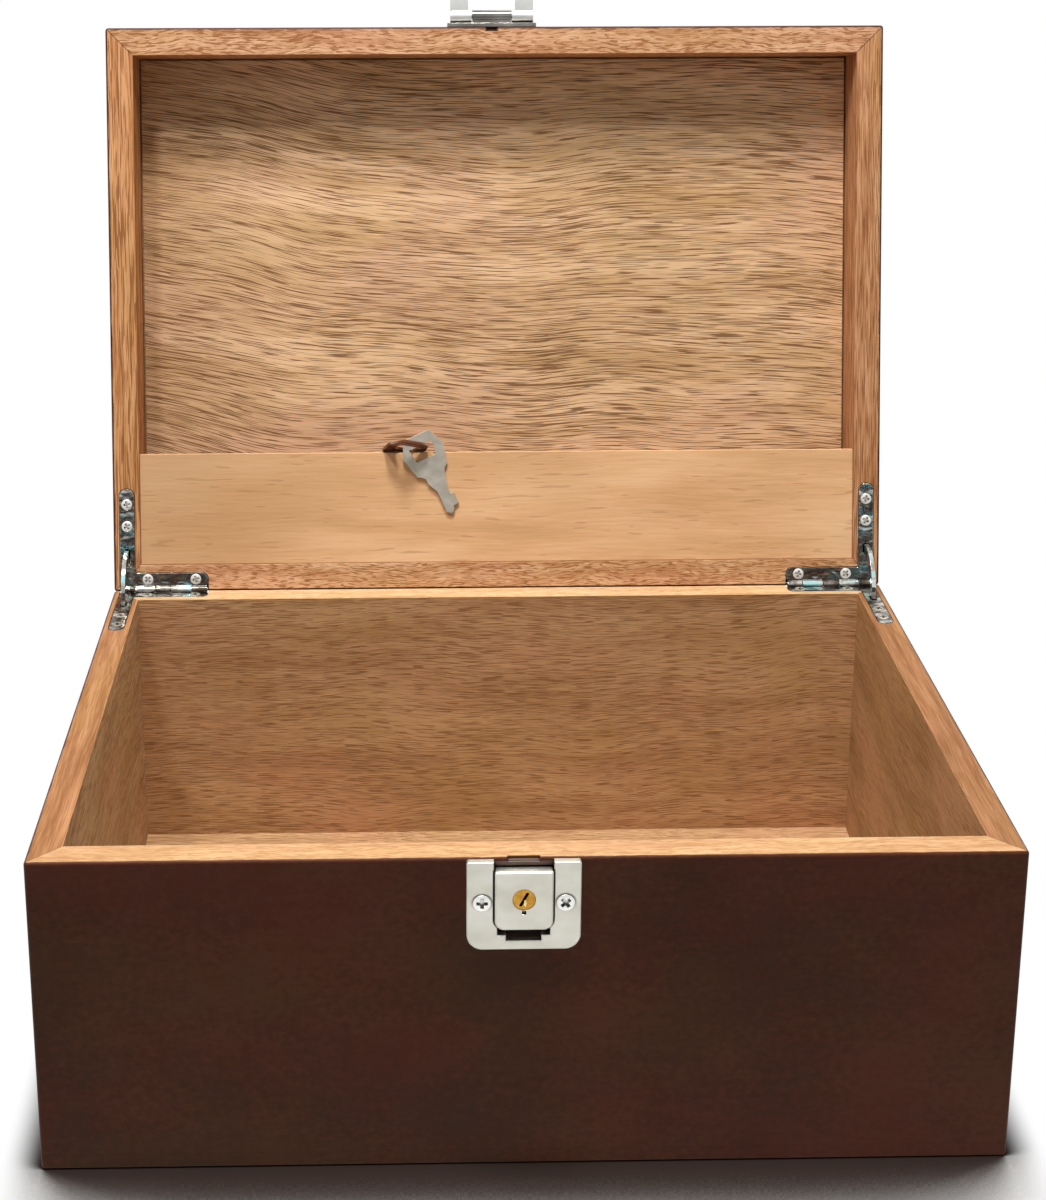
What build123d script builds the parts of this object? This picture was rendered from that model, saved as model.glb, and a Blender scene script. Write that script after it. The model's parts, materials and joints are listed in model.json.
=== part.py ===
import os
from math import asin, copysign, cos, degrees, radians, sin, tan

from build123d import *

os.makedirs("parts", exist_ok=True)

# Box, in millimetres. The origin is the middle of the underside, with the front at -Y.
width = 305.0
depth = 222.0
base_height = 107.0
lid_rail_height = 24.0
wall = 10.5
bottom_thickness = 5.0
top_thickness = 5.0
lid_gap = 0.8
open_angle = 102.0
corner_radius = 1.2
edge_radius = 1.0
top_edge_radius = 1.1
mitre_overrun = 1.0
level_tolerance = 0.001
lining_thickness = 2.5
lining_gap = 0.8

# Pocket board across the back of the lid, where the keys hang
pocket_height = 44.0
pocket_thickness = 3.0
pocket_inset = 0.8

# Quadrant hinges let into the rims at the two back corners
leaf_thickness = 1.5
leg_offset = 2.6
leg_width = 5.7
side_leg_length = 41.0
back_leg_length = 37.2
back_leg_width = 7.3
back_leg_corner = 2.5
leg_inner_corner = 0.8
leaf_clearance = 0.3
axis_inset = 0.7
barrel_radius = 1.75
barrel_clearance = 0.25
barrel_start = 3.2
first_knuckles = (5.2, 8.0, 6.3, 8.2)
barrel_end_gap = 0.2
knuckle_gap = 0.4
pin_radius = 0.9
running_clearance = 0.05
hinge_head_radius = 2.1
hinge_shank_radius = 1.1
hinge_screw_length = 9.0
back_screw_distance = 4.8
back_screw_offset = 13.4
back_screw_inset = 4.8
side_screw_distances = (26.1, 34.8)

# Curved stay of each hinge, a flat arc about the hinge line with a stop at each end
stay_inner_radius = 12.5
stay_outer_radius = 16.0
stay_thickness = 1.6
stay_stop_overhang = 1.5
stay_stop_angle = 9.0
stay_stop_clearance = 0.12
stay_slot_clearance = 0.4
stay_slot_end_clearance = 0.64
stay_pocket_clearance = 0.7

# Screws
head_dome = 0.3
countersink_share = 1.1
cross_share = 0.62
cross_bar_share = 0.2
cross_depth_share = 0.45
shank_point_share = 0.25
screw_seat_gap = 0.02
hinge_screw_turns = (40.0, 15.0, 30.0, 10.0)
front_screw_turns = (0.0, 40.0)

# Lock plate on the front board
lock_x = -1.5
plate_width = 34.9
plate_height = 29.6
plate_drop = 0.3
plate_thickness = 2.4
plate_bottom_radius = 5.0
plate_top_radius = 0.8
plate_edge = 0.35
window_overrun = 1.4
lock_screw_spacing = 25.4
lock_screw_drop = 14.0
lock_head_radius = 2.8
lock_shank_radius = 1.3
lock_screw_length = 9.5

# Sliding button around the key plug
button_width = 17.7
button_height = 19.7
button_drop = 2.9
button_rise = 3.8
button_radius = 3.0
button_top_radius = 0.5
button_edge = 0.5
button_travel = 3.0
slide_clearance = 0.3
flange_overlap = 0.65
flange_depth = 1.2
boss_width = 14.4
boss_rise = 6.35
boss_fall = 8.35
flange_tail = 1.0
catch_width = 9.0
catch_gap = 0.2

# Key plug, its cam and the case behind the plate
plug_drop = 12.1
plug_radius = 3.5
plug_recess = 0.2
plug_wall = 1.1
plug_reach = 3.6
keyway_length = 5.2
keyway_width = 0.9
keyway_angle = 28.0
keyway_depth = 3.0
witness_size = 1.3
witness_drop = 4.3
witness_depth = 0.8
cam_thickness = 1.0
cam_hub_radius = 3.0
cam_reach = 7.0
cam_width = 3.2
cam_lock_gap = 0.4
cam_screw_radius = 1.6
cam_screw_thickness = 0.9
case_wall = 0.7
case_depth = 7.0
case_half_width = 10.7
case_drop = 1.0
case_height = 27.2
case_clearance = 0.15
ledge_thickness = 1.2
ledge_width = 6.0
ledge_setback = 3.8
rim_slot_width = 10.0
rim_slot_height = 1.3
rim_slot_depth = 1.6
spring_x = -7.4
spring_outer_radius = 1.5
spring_inner_radius = 1.0
spring_seat_thickness = 1.0
spring_seat_drop = 11.5
spring_seat_width = 3.6
spring_gap = 0.15

# Opening under the button that takes the lip of the hasp
lip_opening_width = 16.1
lip_opening_drop = 25.0
lip_notch_width = 10.8
lip_notch_drop = 26.9

# Hasp on the lid
hasp_screw_rise = 10.6
hasp_screw_spacing = 22.0
hasp_mount_height = 15.0
hasp_mount_rise = 0.4
hasp_mount_thickness = 1.5
hasp_mount_radius = 1.5
hasp_barrel_radius = 2.5
hasp_barrel_half = 7.6
hasp_web_height = 4.0
hasp_pin_out = 4.2
hasp_pin_rise = 3.1
hasp_pin_radius = 0.9
hasp_swing = 90.0
hasp_width = 32.4
hasp_thickness = 2.0
hasp_lift = 0.3
hasp_window_gap = 0.45
hasp_bar_width = 5.2
hasp_end_radius = 6.0
hasp_rim_width = 1.4
hasp_rim_height = 0.7
hasp_lip_width = 9.8
hasp_lip_thickness = 1.1
hasp_lip_drop = 25.8
hasp_lip_reach = 4.4
hasp_nib_thickness = 1.4
hasp_nib_height = 1.5
hasp_spring_outer = 1.7
hasp_spring_inner = 1.2
hasp_spring_length = 9.0
lid_notch_width = 5.2
lid_notch_bottom = 2.6
lid_notch_depth = 1.7
lid_notch_height = 3.0

# Keys, stamped from sheet
key_thickness = 1.0
key_gap = 0.12
key_bow_half = 8.7
key_bow_top = 7.0
key_bow_top_half = 5.6
key_bow_bottom = 8.4
key_bow_bottom_half = 6.6
key_hole_top = 2.7
key_hole_bottom = 3.0
key_hole_top_half = 4.9
key_hole_bottom_half = 4.2
key_neck_half = 4.8
key_neck_start = 9.6
key_waist_half = 3.8
key_waist_start = 10.5
key_waist_end = 12.9
key_shoulder = 16.8
key_blade_left = 1.8
key_blade_right = 2.7
key_blade_narrow = 1.6
key_bit = 4.1
key_bit_start = 20.0
key_bit_end = 24.7
key_point_start = 25.8
key_point_half = 0.5
key_length = 27.2
key_corner = 0.35
key_x = -29.5
key_rise = 0.65
key_tilt = 25.0
back_key_offset = -6.9
back_key_slope = 22.0
back_key_turn = 32.0
back_key_forward = 1.2

# Values that follow from the ones above
axis_y = depth / 2 - axis_inset
axis_z = base_height + lid_gap / 2
lid_rim = base_height + lid_gap
lid_rail_top = lid_rim + lid_rail_height
plate_top = base_height - plate_drop
plate_bottom = plate_top - plate_height
button_top = base_height - button_drop
button_bottom = button_top - button_height
plug_z = base_height - plug_drop
case_top = base_height - case_drop
case_bottom = case_top - case_height
hasp_lip_z = base_height - hasp_lip_drop
ledge_bottom = plug_z + cam_reach + cam_lock_gap
window_half = button_width / 2 + slide_clearance
flange_half = window_half + flange_overlap
flange_front = case_wall + slide_clearance
flange_back = flange_front + flange_depth
boss_top = plug_z + boss_rise
boss_bottom = plug_z - boss_fall
leg_centre = leg_offset + leg_width / 2
barrel_length = back_leg_length - barrel_end_gap - barrel_start
knuckle_lengths = (*first_knuckles, barrel_length - sum(first_knuckles))

hinge_line = Pos(0, axis_y, axis_z)
lid_turn = hinge_line * Rot(X=-open_angle) * hinge_line.inverse()
hasp_pin_y = -depth / 2 - hasp_pin_out
hasp_pin_z = lid_rim + hasp_pin_rise
hasp_line = Pos(lock_x, hasp_pin_y, hasp_pin_z)
hasp_turn = hasp_line * Rot(X=-hasp_swing) * hasp_line.inverse()

names = []


def save(part, name):
    """Label a finished piece and write it."""
    part.label = name
    export_step(part, f"parts/{name}.step")
    names.append(name)


def standing(plane):
    """A plane on the base, left where it is drawn."""
    return plane


def opened(plane):
    """A plane drawn on the shut lid, turned about the hinge line with the open lid."""
    return Plane(lid_turn * plane.location)


def swung(plane):
    """A plane drawn on the folded hasp, turned about its pin and then opened with the lid."""
    return opened(Plane(hasp_turn * plane.location))


def front_plane(out):
    """A plane parallel to the front face: X across, Y up, out towards the viewer."""
    return Plane(origin=(lock_x, -depth / 2 - out, 0), x_dir=(1, 0, 0), z_dir=(0, -1, 0))


def screw_shape(head_radius, shank_radius, length):
    """A countersunk screw hanging below the origin, with a slightly domed head and no recess."""
    cone = (head_radius - shank_radius) * countersink_share
    point = length * shank_point_share
    with BuildPart() as shape:
        with BuildSketch(Plane.XZ):
            with BuildLine():
                Line((0, head_dome), (0, -length))
                Line((0, -length), (shank_radius, -length + point))
                Line((shank_radius, -length + point), (shank_radius, -cone))
                Line((shank_radius, -cone), (head_radius, 0))
                TangentArc((0, head_dome), (head_radius, 0), tangent=(1, 0))
            make_face()
        revolve(axis=Axis.Z)
    return shape.part


def screw(head_radius, shank_radius, length, turn):
    """The same screw with a cross recess, turned by as much as the screw came to rest at."""
    bar = head_radius * 2 * cross_bar_share
    with BuildPart() as finished:
        add(screw_shape(head_radius, shank_radius, length))
        with BuildSketch(Plane.XY.offset(-head_radius * cross_depth_share)):
            Rectangle(head_radius * 2 * cross_share, bar, rotation=turn)
            Rectangle(bar, head_radius * 2 * cross_share, rotation=turn)
        extrude(amount=head_radius, mode=Mode.SUBTRACT)
    return finished.part


def screw_seat(head_radius, shank_radius, length):
    """Room for a screw, a hair wider than the screw all round."""
    gap = screw_seat_gap
    return screw_shape(head_radius + gap, shank_radius + gap, length + gap)


def placed(shape, places):
    """Copies of a shape, one at each place."""
    with BuildPart() as copies:
        with Locations(*places):
            add(shape)
    return copies.part


def driven(head_radius, shank_radius, length, places, turns):
    """Screws in their places, each with its own turn."""
    with BuildPart() as screws:
        for place, turn in zip(places, turns):
            with Locations(place):
                add(screw(head_radius, shank_radius, length, turn))
    return screws.part


def mirrored(shape):
    """The same piece for the other side of the box."""
    with BuildPart() as other:
        mirror(shape, about=Plane.YZ)
    return other.part


# Screws of one hinge, at the left corner. Points are measured on the rim, seen from above.
left = -width / 2
back = depth / 2
back_screws = (back_screw_offset, back_leg_length - back_screw_inset)
hinge_points = [(left + offset, back - back_screw_distance) for offset in back_screws]
hinge_points += [(left + leg_centre, back - distance) for distance in side_screw_distances]
hinge_screw_sizes = (hinge_head_radius, hinge_shank_radius, hinge_screw_length)
hinge_blank = screw_seat(*hinge_screw_sizes)
upward = [Location((x, y, base_height)) for x, y in hinge_points]
downward = [lid_turn * Location((x, y, lid_rim), (180, 0, 0)) for x, y in hinge_points]


def leaf_outline(extra):
    """L of a hinge leaf at the left corner, grown by a clearance."""
    inner_x = left + leg_offset + leg_width + extra
    outer_x = left + leg_offset - extra
    reach_x = left + back_leg_length + extra
    inner_y = back - back_leg_width - extra
    tip = back - side_leg_length + leg_width / 2
    end_radius = leg_width / 2 + extra
    with BuildSketch() as outline:
        with BuildLine():
            Line((outer_x, back + extra), (outer_x, tip))
            ThreePointArc((outer_x, tip), (left + leg_centre, tip - end_radius), (inner_x, tip))
            FilletPolyline(
                (inner_x, tip),
                (inner_x, inner_y),
                (reach_x, inner_y),
                (reach_x, back + extra),
                radius=(leg_inner_corner, back_leg_corner),
            )
            Line((reach_x, back + extra), (outer_x, back + extra))
        make_face()
    return outline.sketch


def knuckle_spans(own):
    """Start and end of a leaf's own knuckles, each shorter by the gap between knuckles."""
    spans = []
    start = left + barrel_start
    for index, length in enumerate(knuckle_lengths):
        if index % 2 == own:
            spans.append((start + knuckle_gap / 2, start + length - knuckle_gap / 2))
        start += length
    return spans


def open_spans(own):
    """Start and end of the stretches of a leaf's back edge beside its own knuckles."""
    ends = [end for span in knuckle_spans(own) for end in span]
    ends = [left, *ends, left + back_leg_length + barrel_clearance]
    return list(zip(ends[::2], ends[1::2]))


def barrel_plane(x):
    """A plane square to the hinge line."""
    return Plane(origin=(x, axis_y, axis_z), x_dir=(0, 1, 0), z_dir=(1, 0, 0))


def hinge_leaf(turn, rim, inward, own, bore, blanks):
    """One leaf: an L let into the rim, with its own knuckles around the hinge line."""
    with BuildPart() as leaf:
        with BuildSketch(turn(Plane.XY.offset(rim))):
            add(leaf_outline(0))
        extrude(amount=inward * leaf_thickness)
        for start, end in open_spans(own):
            with BuildSketch(turn(barrel_plane(start))):
                Circle(barrel_radius + barrel_clearance)
            extrude(amount=end - start, mode=Mode.SUBTRACT)
        for start, end in knuckle_spans(own):
            with BuildSketch(turn(barrel_plane(start))):
                Circle(barrel_radius)
            extrude(amount=end - start)
        with BuildSketch(turn(barrel_plane(left + barrel_start))):
            Circle(bore)
        extrude(amount=barrel_length, mode=Mode.SUBTRACT)
        with BuildSketch(turn(Plane.XY.offset(rim))):
            with Locations((left + leg_centre, axis_y - slot_middle)):
                SlotOverall(slot_length, stay_thickness + 2 * stay_slot_clearance, rotation=90)
        extrude(amount=inward * leaf_thickness, mode=Mode.SUBTRACT)
        add(blanks, mode=Mode.SUBTRACT)
    return leaf.part


# The slot in each leaf lets the stay through and holds back the stops at its ends.
leaf_back = lid_gap / 2 + leaf_thickness
slot_near = (stay_inner_radius**2 - leaf_back**2) ** 0.5 - stay_slot_end_clearance
slot_far = stay_outer_radius + stay_slot_end_clearance
slot_length = slot_far - slot_near
slot_middle = (slot_far + slot_near) / 2
stop_inner = stay_inner_radius - stay_stop_overhang
stop_outer = stay_outer_radius + stay_stop_overhang
stop_start = degrees(asin((leaf_back + stay_stop_clearance) / stop_inner))

base_blanks = placed(hinge_blank, upward)
lid_blanks = placed(hinge_blank, downward)
left_pieces = {
    "hinge_left_base_leaf": hinge_leaf(standing, base_height, -1, 0, pin_radius, base_blanks),
    "hinge_left_lid_leaf": hinge_leaf(
        opened, lid_rim, 1, 1, pin_radius + running_clearance, lid_blanks
    ),
    "hinge_left_base_screws": driven(*hinge_screw_sizes, upward, hinge_screw_turns),
    "hinge_left_lid_screws": driven(*hinge_screw_sizes, downward, hinge_screw_turns),
}

with BuildPart() as hinge_pin:
    with BuildSketch(barrel_plane(left + barrel_start)):
        Circle(pin_radius)
    extrude(amount=barrel_length)
left_pieces["hinge_left_pin"] = hinge_pin.part

stay_plane = Plane(
    origin=(left + leg_centre + stay_thickness / 2, axis_y, axis_z),
    x_dir=(0, -1, 0),
    z_dir=(-1, 0, 0),
)


def ring_sector(inner, outer, start, sweep):
    """Part of a flat ring about the hinge line, from a start angle through a sweep."""
    with BuildSketch() as sector:
        with BuildLine():
            far = CenterArc((0, 0), outer, start, sweep)
            near = CenterArc((0, 0), inner, start, sweep)
            Line(far @ 0, near @ 0)
            Line(far @ 1, near @ 1)
        make_face()
    return sector.sketch


with BuildPart() as hinge_stay:
    with BuildSketch(stay_plane):
        arc_sweep = open_angle + 2 * stop_start
        add(ring_sector(stay_inner_radius, stay_outer_radius, -stop_start, arc_sweep))
        for start in (-stop_start - stay_stop_angle, open_angle + stop_start):
            add(ring_sector(stop_inner, stop_outer, start, stay_stop_angle))
    extrude(amount=stay_thickness)
left_pieces["hinge_left_stay"] = hinge_stay.part

# Room in the wood for one hinge: the leaf, its screws, the barrel and the swinging stay
stay_pocket_near = stop_inner * cos(radians(open_angle / 2 + stop_start + stay_stop_angle))
stay_pocket_near -= stay_pocket_clearance
stay_pocket_far = stop_outer + stay_pocket_clearance
stay_pocket_middle = (stay_pocket_near + stay_pocket_far) / 2


def hinge_room(turn, rim, inward, blanks):
    """What one hinge takes out of the rim at the left corner."""
    with BuildPart() as room:
        with BuildSketch(turn(Plane.XY.offset(rim))):
            add(leaf_outline(leaf_clearance))
        extrude(amount=inward * leaf_thickness)
        with BuildSketch(turn(barrel_plane(left + barrel_start - barrel_clearance))):
            Circle(barrel_radius + barrel_clearance)
        extrude(amount=barrel_length + 2 * barrel_clearance)
        with BuildSketch(turn(Plane.XY.offset(rim))):
            with Locations((left + leg_centre, axis_y - stay_pocket_middle)):
                Rectangle(
                    stay_thickness + 2 * stay_pocket_clearance, stay_pocket_far - stay_pocket_near
                )
        extrude(amount=inward * stay_pocket_far)
        add(blanks)
    return room.part


base_room = hinge_room(standing, base_height, -1, base_blanks)
lid_room = hinge_room(opened, lid_rim, 1, lid_blanks)

for name, piece in left_pieces.items():
    save(piece, name)
    save(mirrored(piece), name.replace("left", "right"))


def mitre_wedge(side):
    """Corners of the area that one board takes of a mitred frame, seen from above."""
    outer_x = width / 2 + mitre_overrun
    outer_y = depth / 2 + mitre_overrun
    inner_x = width / 2 - wall - mitre_overrun
    inner_y = depth / 2 - wall - mitre_overrun
    outer = {
        "front": ((-outer_x, -outer_y), (outer_x, -outer_y)),
        "back": ((-outer_x, outer_y), (outer_x, outer_y)),
        "left": ((-outer_x, -outer_y), (-outer_x, outer_y)),
        "right": ((outer_x, -outer_y), (outer_x, outer_y)),
    }[side]
    inner = [(copysign(inner_x, x), copysign(inner_y, y)) for x, y in reversed(outer)]
    return [*outer, *inner]


def outside_edges(board, plane):
    """Edges of a board that lie in a plane and on the outside of the box."""

    def is_outside(edge):
        points = [plane.to_local_coords(edge @ share) for share in (0, 0.5, 1)]
        flat = all(abs(point.Z) < level_tolerance for point in points)
        beyond = max(abs(points[1].X) - width / 2, abs(points[1].Y) - depth / 2)
        return flat and beyond > -corner_radius

    return board.edges().filter_by(is_outside)


def mitred_board(turn, side, bottom, height, rim):
    """One board of a frame, mitred at both ends, with its outer edge at the rim eased."""
    with BuildPart() as board:
        with BuildSketch(turn(Plane.XY.offset(bottom))):
            RectangleRounded(width, depth, corner_radius)
            Rectangle(width - 2 * wall, depth - 2 * wall, mode=Mode.SUBTRACT)
            with BuildLine():
                Polyline(*mitre_wedge(side), close=True)
            make_face(mode=Mode.INTERSECT)
        extrude(amount=height)
        fillet(outside_edges(board, turn(Plane.XY.offset(rim))), edge_radius)
    return board.part


sides = ("front", "back", "left", "right")
base_wall_height = base_height - bottom_thickness
base_boards = {
    side: mitred_board(standing, side, bottom_thickness, base_wall_height, base_height)
    for side in sides
}
lid_boards = {side: mitred_board(opened, side, lid_rim, lid_rail_height, lid_rim) for side in sides}

with BuildPart() as base_bottom_panel:
    with BuildSketch():
        RectangleRounded(width, depth, corner_radius)
    extrude(amount=bottom_thickness)
    fillet(base_bottom_panel.edges().group_by(Axis.Z)[0], edge_radius)
save(base_bottom_panel.part, "base_bottom_panel")

with BuildPart() as lid_top_panel:
    with BuildSketch(opened(Plane.XY.offset(lid_rail_top))):
        RectangleRounded(width, depth, corner_radius)
    extrude(amount=top_thickness)
    upward_on_lid = Axis(opened(Plane.XY).origin, opened(Plane.XY).z_dir)
    top_face = lid_top_panel.faces().sort_by(upward_on_lid)[-1]
    fillet(top_face.edges(), top_edge_radius)
save(lid_top_panel.part, "lid_top_panel")

with BuildPart() as lid_lining_panel:
    with BuildSketch(opened(Plane.XY.offset(lid_rail_top - lining_thickness))):
        Rectangle(width - 2 * (wall + lining_gap), depth - 2 * (wall + lining_gap))
    extrude(amount=lining_thickness)
save(lid_lining_panel.part, "lid_lining_panel")

with BuildPart() as lid_pocket_board:
    with BuildSketch(opened(Plane.XY.offset(lid_rim + pocket_inset))):
        with Locations((0, back - wall - pocket_height / 2)):
            Rectangle(width - 2 * wall, pocket_height)
    extrude(amount=pocket_thickness)
save(lid_pocket_board.part, "lid_pocket_board")

# Lock plate, its screws and the room for the case
lock_screw_sizes = (lock_head_radius, lock_shank_radius, lock_screw_length)
lock_blank = screw_seat(*lock_screw_sizes)
lock_places = [
    front_plane(plate_thickness).location * Location((x, base_height - lock_screw_drop, 0))
    for x in (-lock_screw_spacing / 2, lock_screw_spacing / 2)
]
lock_blanks = placed(lock_blank, lock_places)
save(driven(*lock_screw_sizes, lock_places, front_screw_turns), "lock_screws")


def upright(half, low, high, mode=Mode.ADD):
    """A rectangle on a front plane, centred on the lock, between two heights."""
    with Locations((0, (low + high) / 2)):
        Rectangle(2 * half, high - low, mode=mode)


def rounded_bottom(half, low, high, bottom_radius, top_radius):
    """A rectangle on a front plane with round lower corners and eased upper ones."""
    with BuildSketch() as outline:
        with Locations((0, (low + high) / 2)):
            Rectangle(2 * half, high - low)
        corners = outline.vertices().group_by(Axis.Y)
        fillet(corners[0], bottom_radius)
        fillet(outline.vertices().group_by(Axis.Y)[-1], top_radius)
    return outline.sketch


with BuildPart() as lock_plate:
    with BuildSketch(front_plane(0)):
        add(
            rounded_bottom(
                plate_width / 2, plate_bottom, plate_top, plate_bottom_radius, plate_top_radius
            )
        )
        add(
            rounded_bottom(
                window_half,
                button_bottom - slide_clearance,
                plate_top + window_overrun,
                button_radius + slide_clearance,
                plate_edge,
            ),
            mode=Mode.SUBTRACT,
        )
        upright(lip_opening_width / 2, base_height - lip_opening_drop, plug_z, Mode.SUBTRACT)
        upright(lip_notch_width / 2, base_height - lip_notch_drop, plug_z, Mode.SUBTRACT)
    extrude(amount=plate_thickness)
    front_face = lock_plate.faces().sort_by(Axis.Y)[0]
    chamfer(front_face.edges(), plate_edge)
    add(lock_blanks, mode=Mode.SUBTRACT)
save(lock_plate.part, "lock_plate")

with BuildPart() as lock_room:
    with BuildSketch(front_plane(0)):
        upright(case_half_width + case_clearance, case_bottom - case_clearance, case_top)
    extrude(amount=-case_depth - case_clearance)
    with BuildSketch(front_plane(0)):
        upright(rim_slot_width / 2, base_height - rim_slot_height, base_height)
    extrude(amount=-rim_slot_depth)
    add(lock_blanks)

with BuildPart() as lock_case:
    with BuildSketch(front_plane(0)):
        upright(case_half_width, case_bottom, case_top)
    extrude(amount=-case_depth)
    with BuildSketch(front_plane(0)):
        upright(case_half_width - case_wall, case_bottom + case_wall, case_top - case_wall)
    extrude(amount=-(case_depth - case_wall), mode=Mode.SUBTRACT)
    with BuildSketch(front_plane(0)):
        upright(case_half_width, boss_top + button_travel + slide_clearance, case_top)
    extrude(amount=-case_wall)
    with BuildSketch(front_plane(-ledge_setback)):
        upright(ledge_width / 2, ledge_bottom, ledge_bottom + ledge_thickness)
    extrude(amount=-(case_depth - ledge_setback))
    with BuildSketch(front_plane(0)):
        upright(rim_slot_width / 2, base_height - rim_slot_height, base_height)
    extrude(amount=-case_wall, mode=Mode.SUBTRACT)
save(lock_case.part, "lock_case")

with BuildPart() as lock_button:
    with BuildSketch(front_plane(slide_clearance)):
        add(
            rounded_bottom(
                button_width / 2, button_bottom, button_top, button_radius, button_top_radius
            )
        )
    extrude(amount=button_rise - slide_clearance)
    chamfer(lock_button.faces().sort_by(Axis.Y)[0].edges(), button_edge)
    with BuildSketch(front_plane(slide_clearance)):
        upright(boss_width / 2, boss_bottom, boss_top)
    extrude(amount=-(flange_back + slide_clearance))
    with BuildSketch(front_plane(-flange_front)):
        upright(flange_half, boss_bottom - flange_tail, boss_top)
        upright(catch_width / 2, hasp_lip_z + hasp_lip_thickness + catch_gap, plug_z)
    extrude(amount=-flange_depth)
    with BuildSketch(front_plane(-flange_back)):
        with Locations((0, plug_z)):
            Circle(plug_radius + plug_wall)
    extrude(amount=-(plug_reach - flange_back))
    with BuildSketch(front_plane(-flange_back)):
        with Locations((spring_x, base_height - spring_seat_drop)):
            Rectangle(spring_seat_width, spring_seat_thickness)
    extrude(amount=-(2 * spring_outer_radius + slide_clearance))
    with BuildSketch(front_plane(button_rise)):
        with Locations((0, plug_z)):
            Circle(plug_radius + running_clearance)
    extrude(amount=-(button_rise + plug_reach), mode=Mode.SUBTRACT)
    with BuildSketch(front_plane(button_rise)):
        with Locations((0, plug_z - witness_drop)):
            Rectangle(witness_size, witness_size)
    extrude(amount=-witness_depth, mode=Mode.SUBTRACT)
save(lock_button.part, "lock_button")

with BuildPart() as lock_plug:
    with BuildSketch(front_plane(button_rise - plug_recess)):
        with Locations((0, plug_z)):
            Circle(plug_radius)
    extrude(amount=-(button_rise - plug_recess + plug_reach))
    with BuildSketch(front_plane(button_rise - plug_recess)):
        with Locations((0, plug_z)):
            SlotOverall(keyway_length, keyway_width, rotation=90 - keyway_angle)
    extrude(amount=-keyway_depth, mode=Mode.SUBTRACT)
save(lock_plug.part, "lock_plug")

with BuildPart() as lock_cam:
    with BuildSketch(front_plane(-plug_reach)):
        with Locations((0, plug_z)):
            Circle(cam_hub_radius)
        with Locations((cam_reach / 2, plug_z)):
            Rectangle(cam_reach, cam_width)
    extrude(amount=-cam_thickness)
save(lock_cam.part, "lock_cam")

with BuildPart() as lock_cam_screw:
    with BuildSketch(front_plane(-plug_reach - cam_thickness)):
        with Locations((0, plug_z)):
            Circle(cam_screw_radius)
    extrude(amount=-cam_screw_thickness)
save(lock_cam_screw.part, "lock_cam_screw")

spring_bottom = base_height - spring_seat_drop + spring_seat_thickness / 2
spring_y = -depth / 2 + flange_back + spring_outer_radius + spring_gap
with BuildPart() as lock_spring:
    with BuildSketch(Plane(origin=(lock_x + spring_x, spring_y, spring_bottom))):
        Circle(spring_outer_radius)
        Circle(spring_inner_radius, mode=Mode.SUBTRACT)
    extrude(amount=case_top - case_wall - spring_bottom)
save(lock_spring.part, "lock_spring")

# Hasp: mounting plate on the lid, pin, swinging frame and spring
hasp_screw_face = lid_turn * front_plane(hasp_mount_thickness).location
hasp_screw_places = [
    hasp_screw_face * Location((x, lid_rim + hasp_screw_rise, 0))
    for x in (-hasp_screw_spacing / 2, hasp_screw_spacing / 2)
]
hasp_blanks = placed(lock_blank, hasp_screw_places)
save(driven(*lock_screw_sizes, hasp_screw_places, front_screw_turns), "hasp_screws")


def across_plane(x):
    """A plane square to the hasp pin, on the shut lid."""
    return Plane(origin=(lock_x + x, hasp_pin_y, hasp_pin_z), x_dir=(0, 1, 0), z_dir=(1, 0, 0))


with BuildPart() as hasp_mount:
    with BuildSketch(opened(front_plane(0))):
        with Locations((0, lid_rim + hasp_mount_rise + hasp_mount_height / 2)):
            RectangleRounded(plate_width, hasp_mount_height, hasp_mount_radius)
    extrude(amount=hasp_mount_thickness)
    with BuildSketch(opened(across_plane(-hasp_barrel_half))):
        Circle(hasp_barrel_radius)
        with Locations((hasp_pin_out / 2, 0)):
            Rectangle(hasp_pin_out, hasp_web_height)
    extrude(amount=2 * hasp_barrel_half)
    with BuildSketch(opened(across_plane(-hasp_barrel_half))):
        Circle(hasp_pin_radius)
    extrude(amount=2 * hasp_barrel_half, mode=Mode.SUBTRACT)
    with BuildSketch(opened(across_plane(-hasp_spring_length / 2))):
        Circle(hasp_spring_outer + running_clearance)
    extrude(amount=hasp_spring_length, mode=Mode.SUBTRACT)
    add(hasp_blanks, mode=Mode.SUBTRACT)
save(hasp_mount.part, "hasp_mount")

with BuildPart() as hasp_spring:
    with BuildSketch(opened(across_plane(-hasp_spring_length / 2))):
        Circle(hasp_spring_outer)
        Circle(hasp_spring_inner, mode=Mode.SUBTRACT)
    extrude(amount=hasp_spring_length)
save(hasp_spring.part, "hasp_spring")

with BuildPart() as hasp_pin:
    with BuildSketch(opened(across_plane(-hasp_width / 2))):
        Circle(hasp_pin_radius)
    extrude(amount=hasp_width)
save(hasp_pin.part, "hasp_pin")

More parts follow.
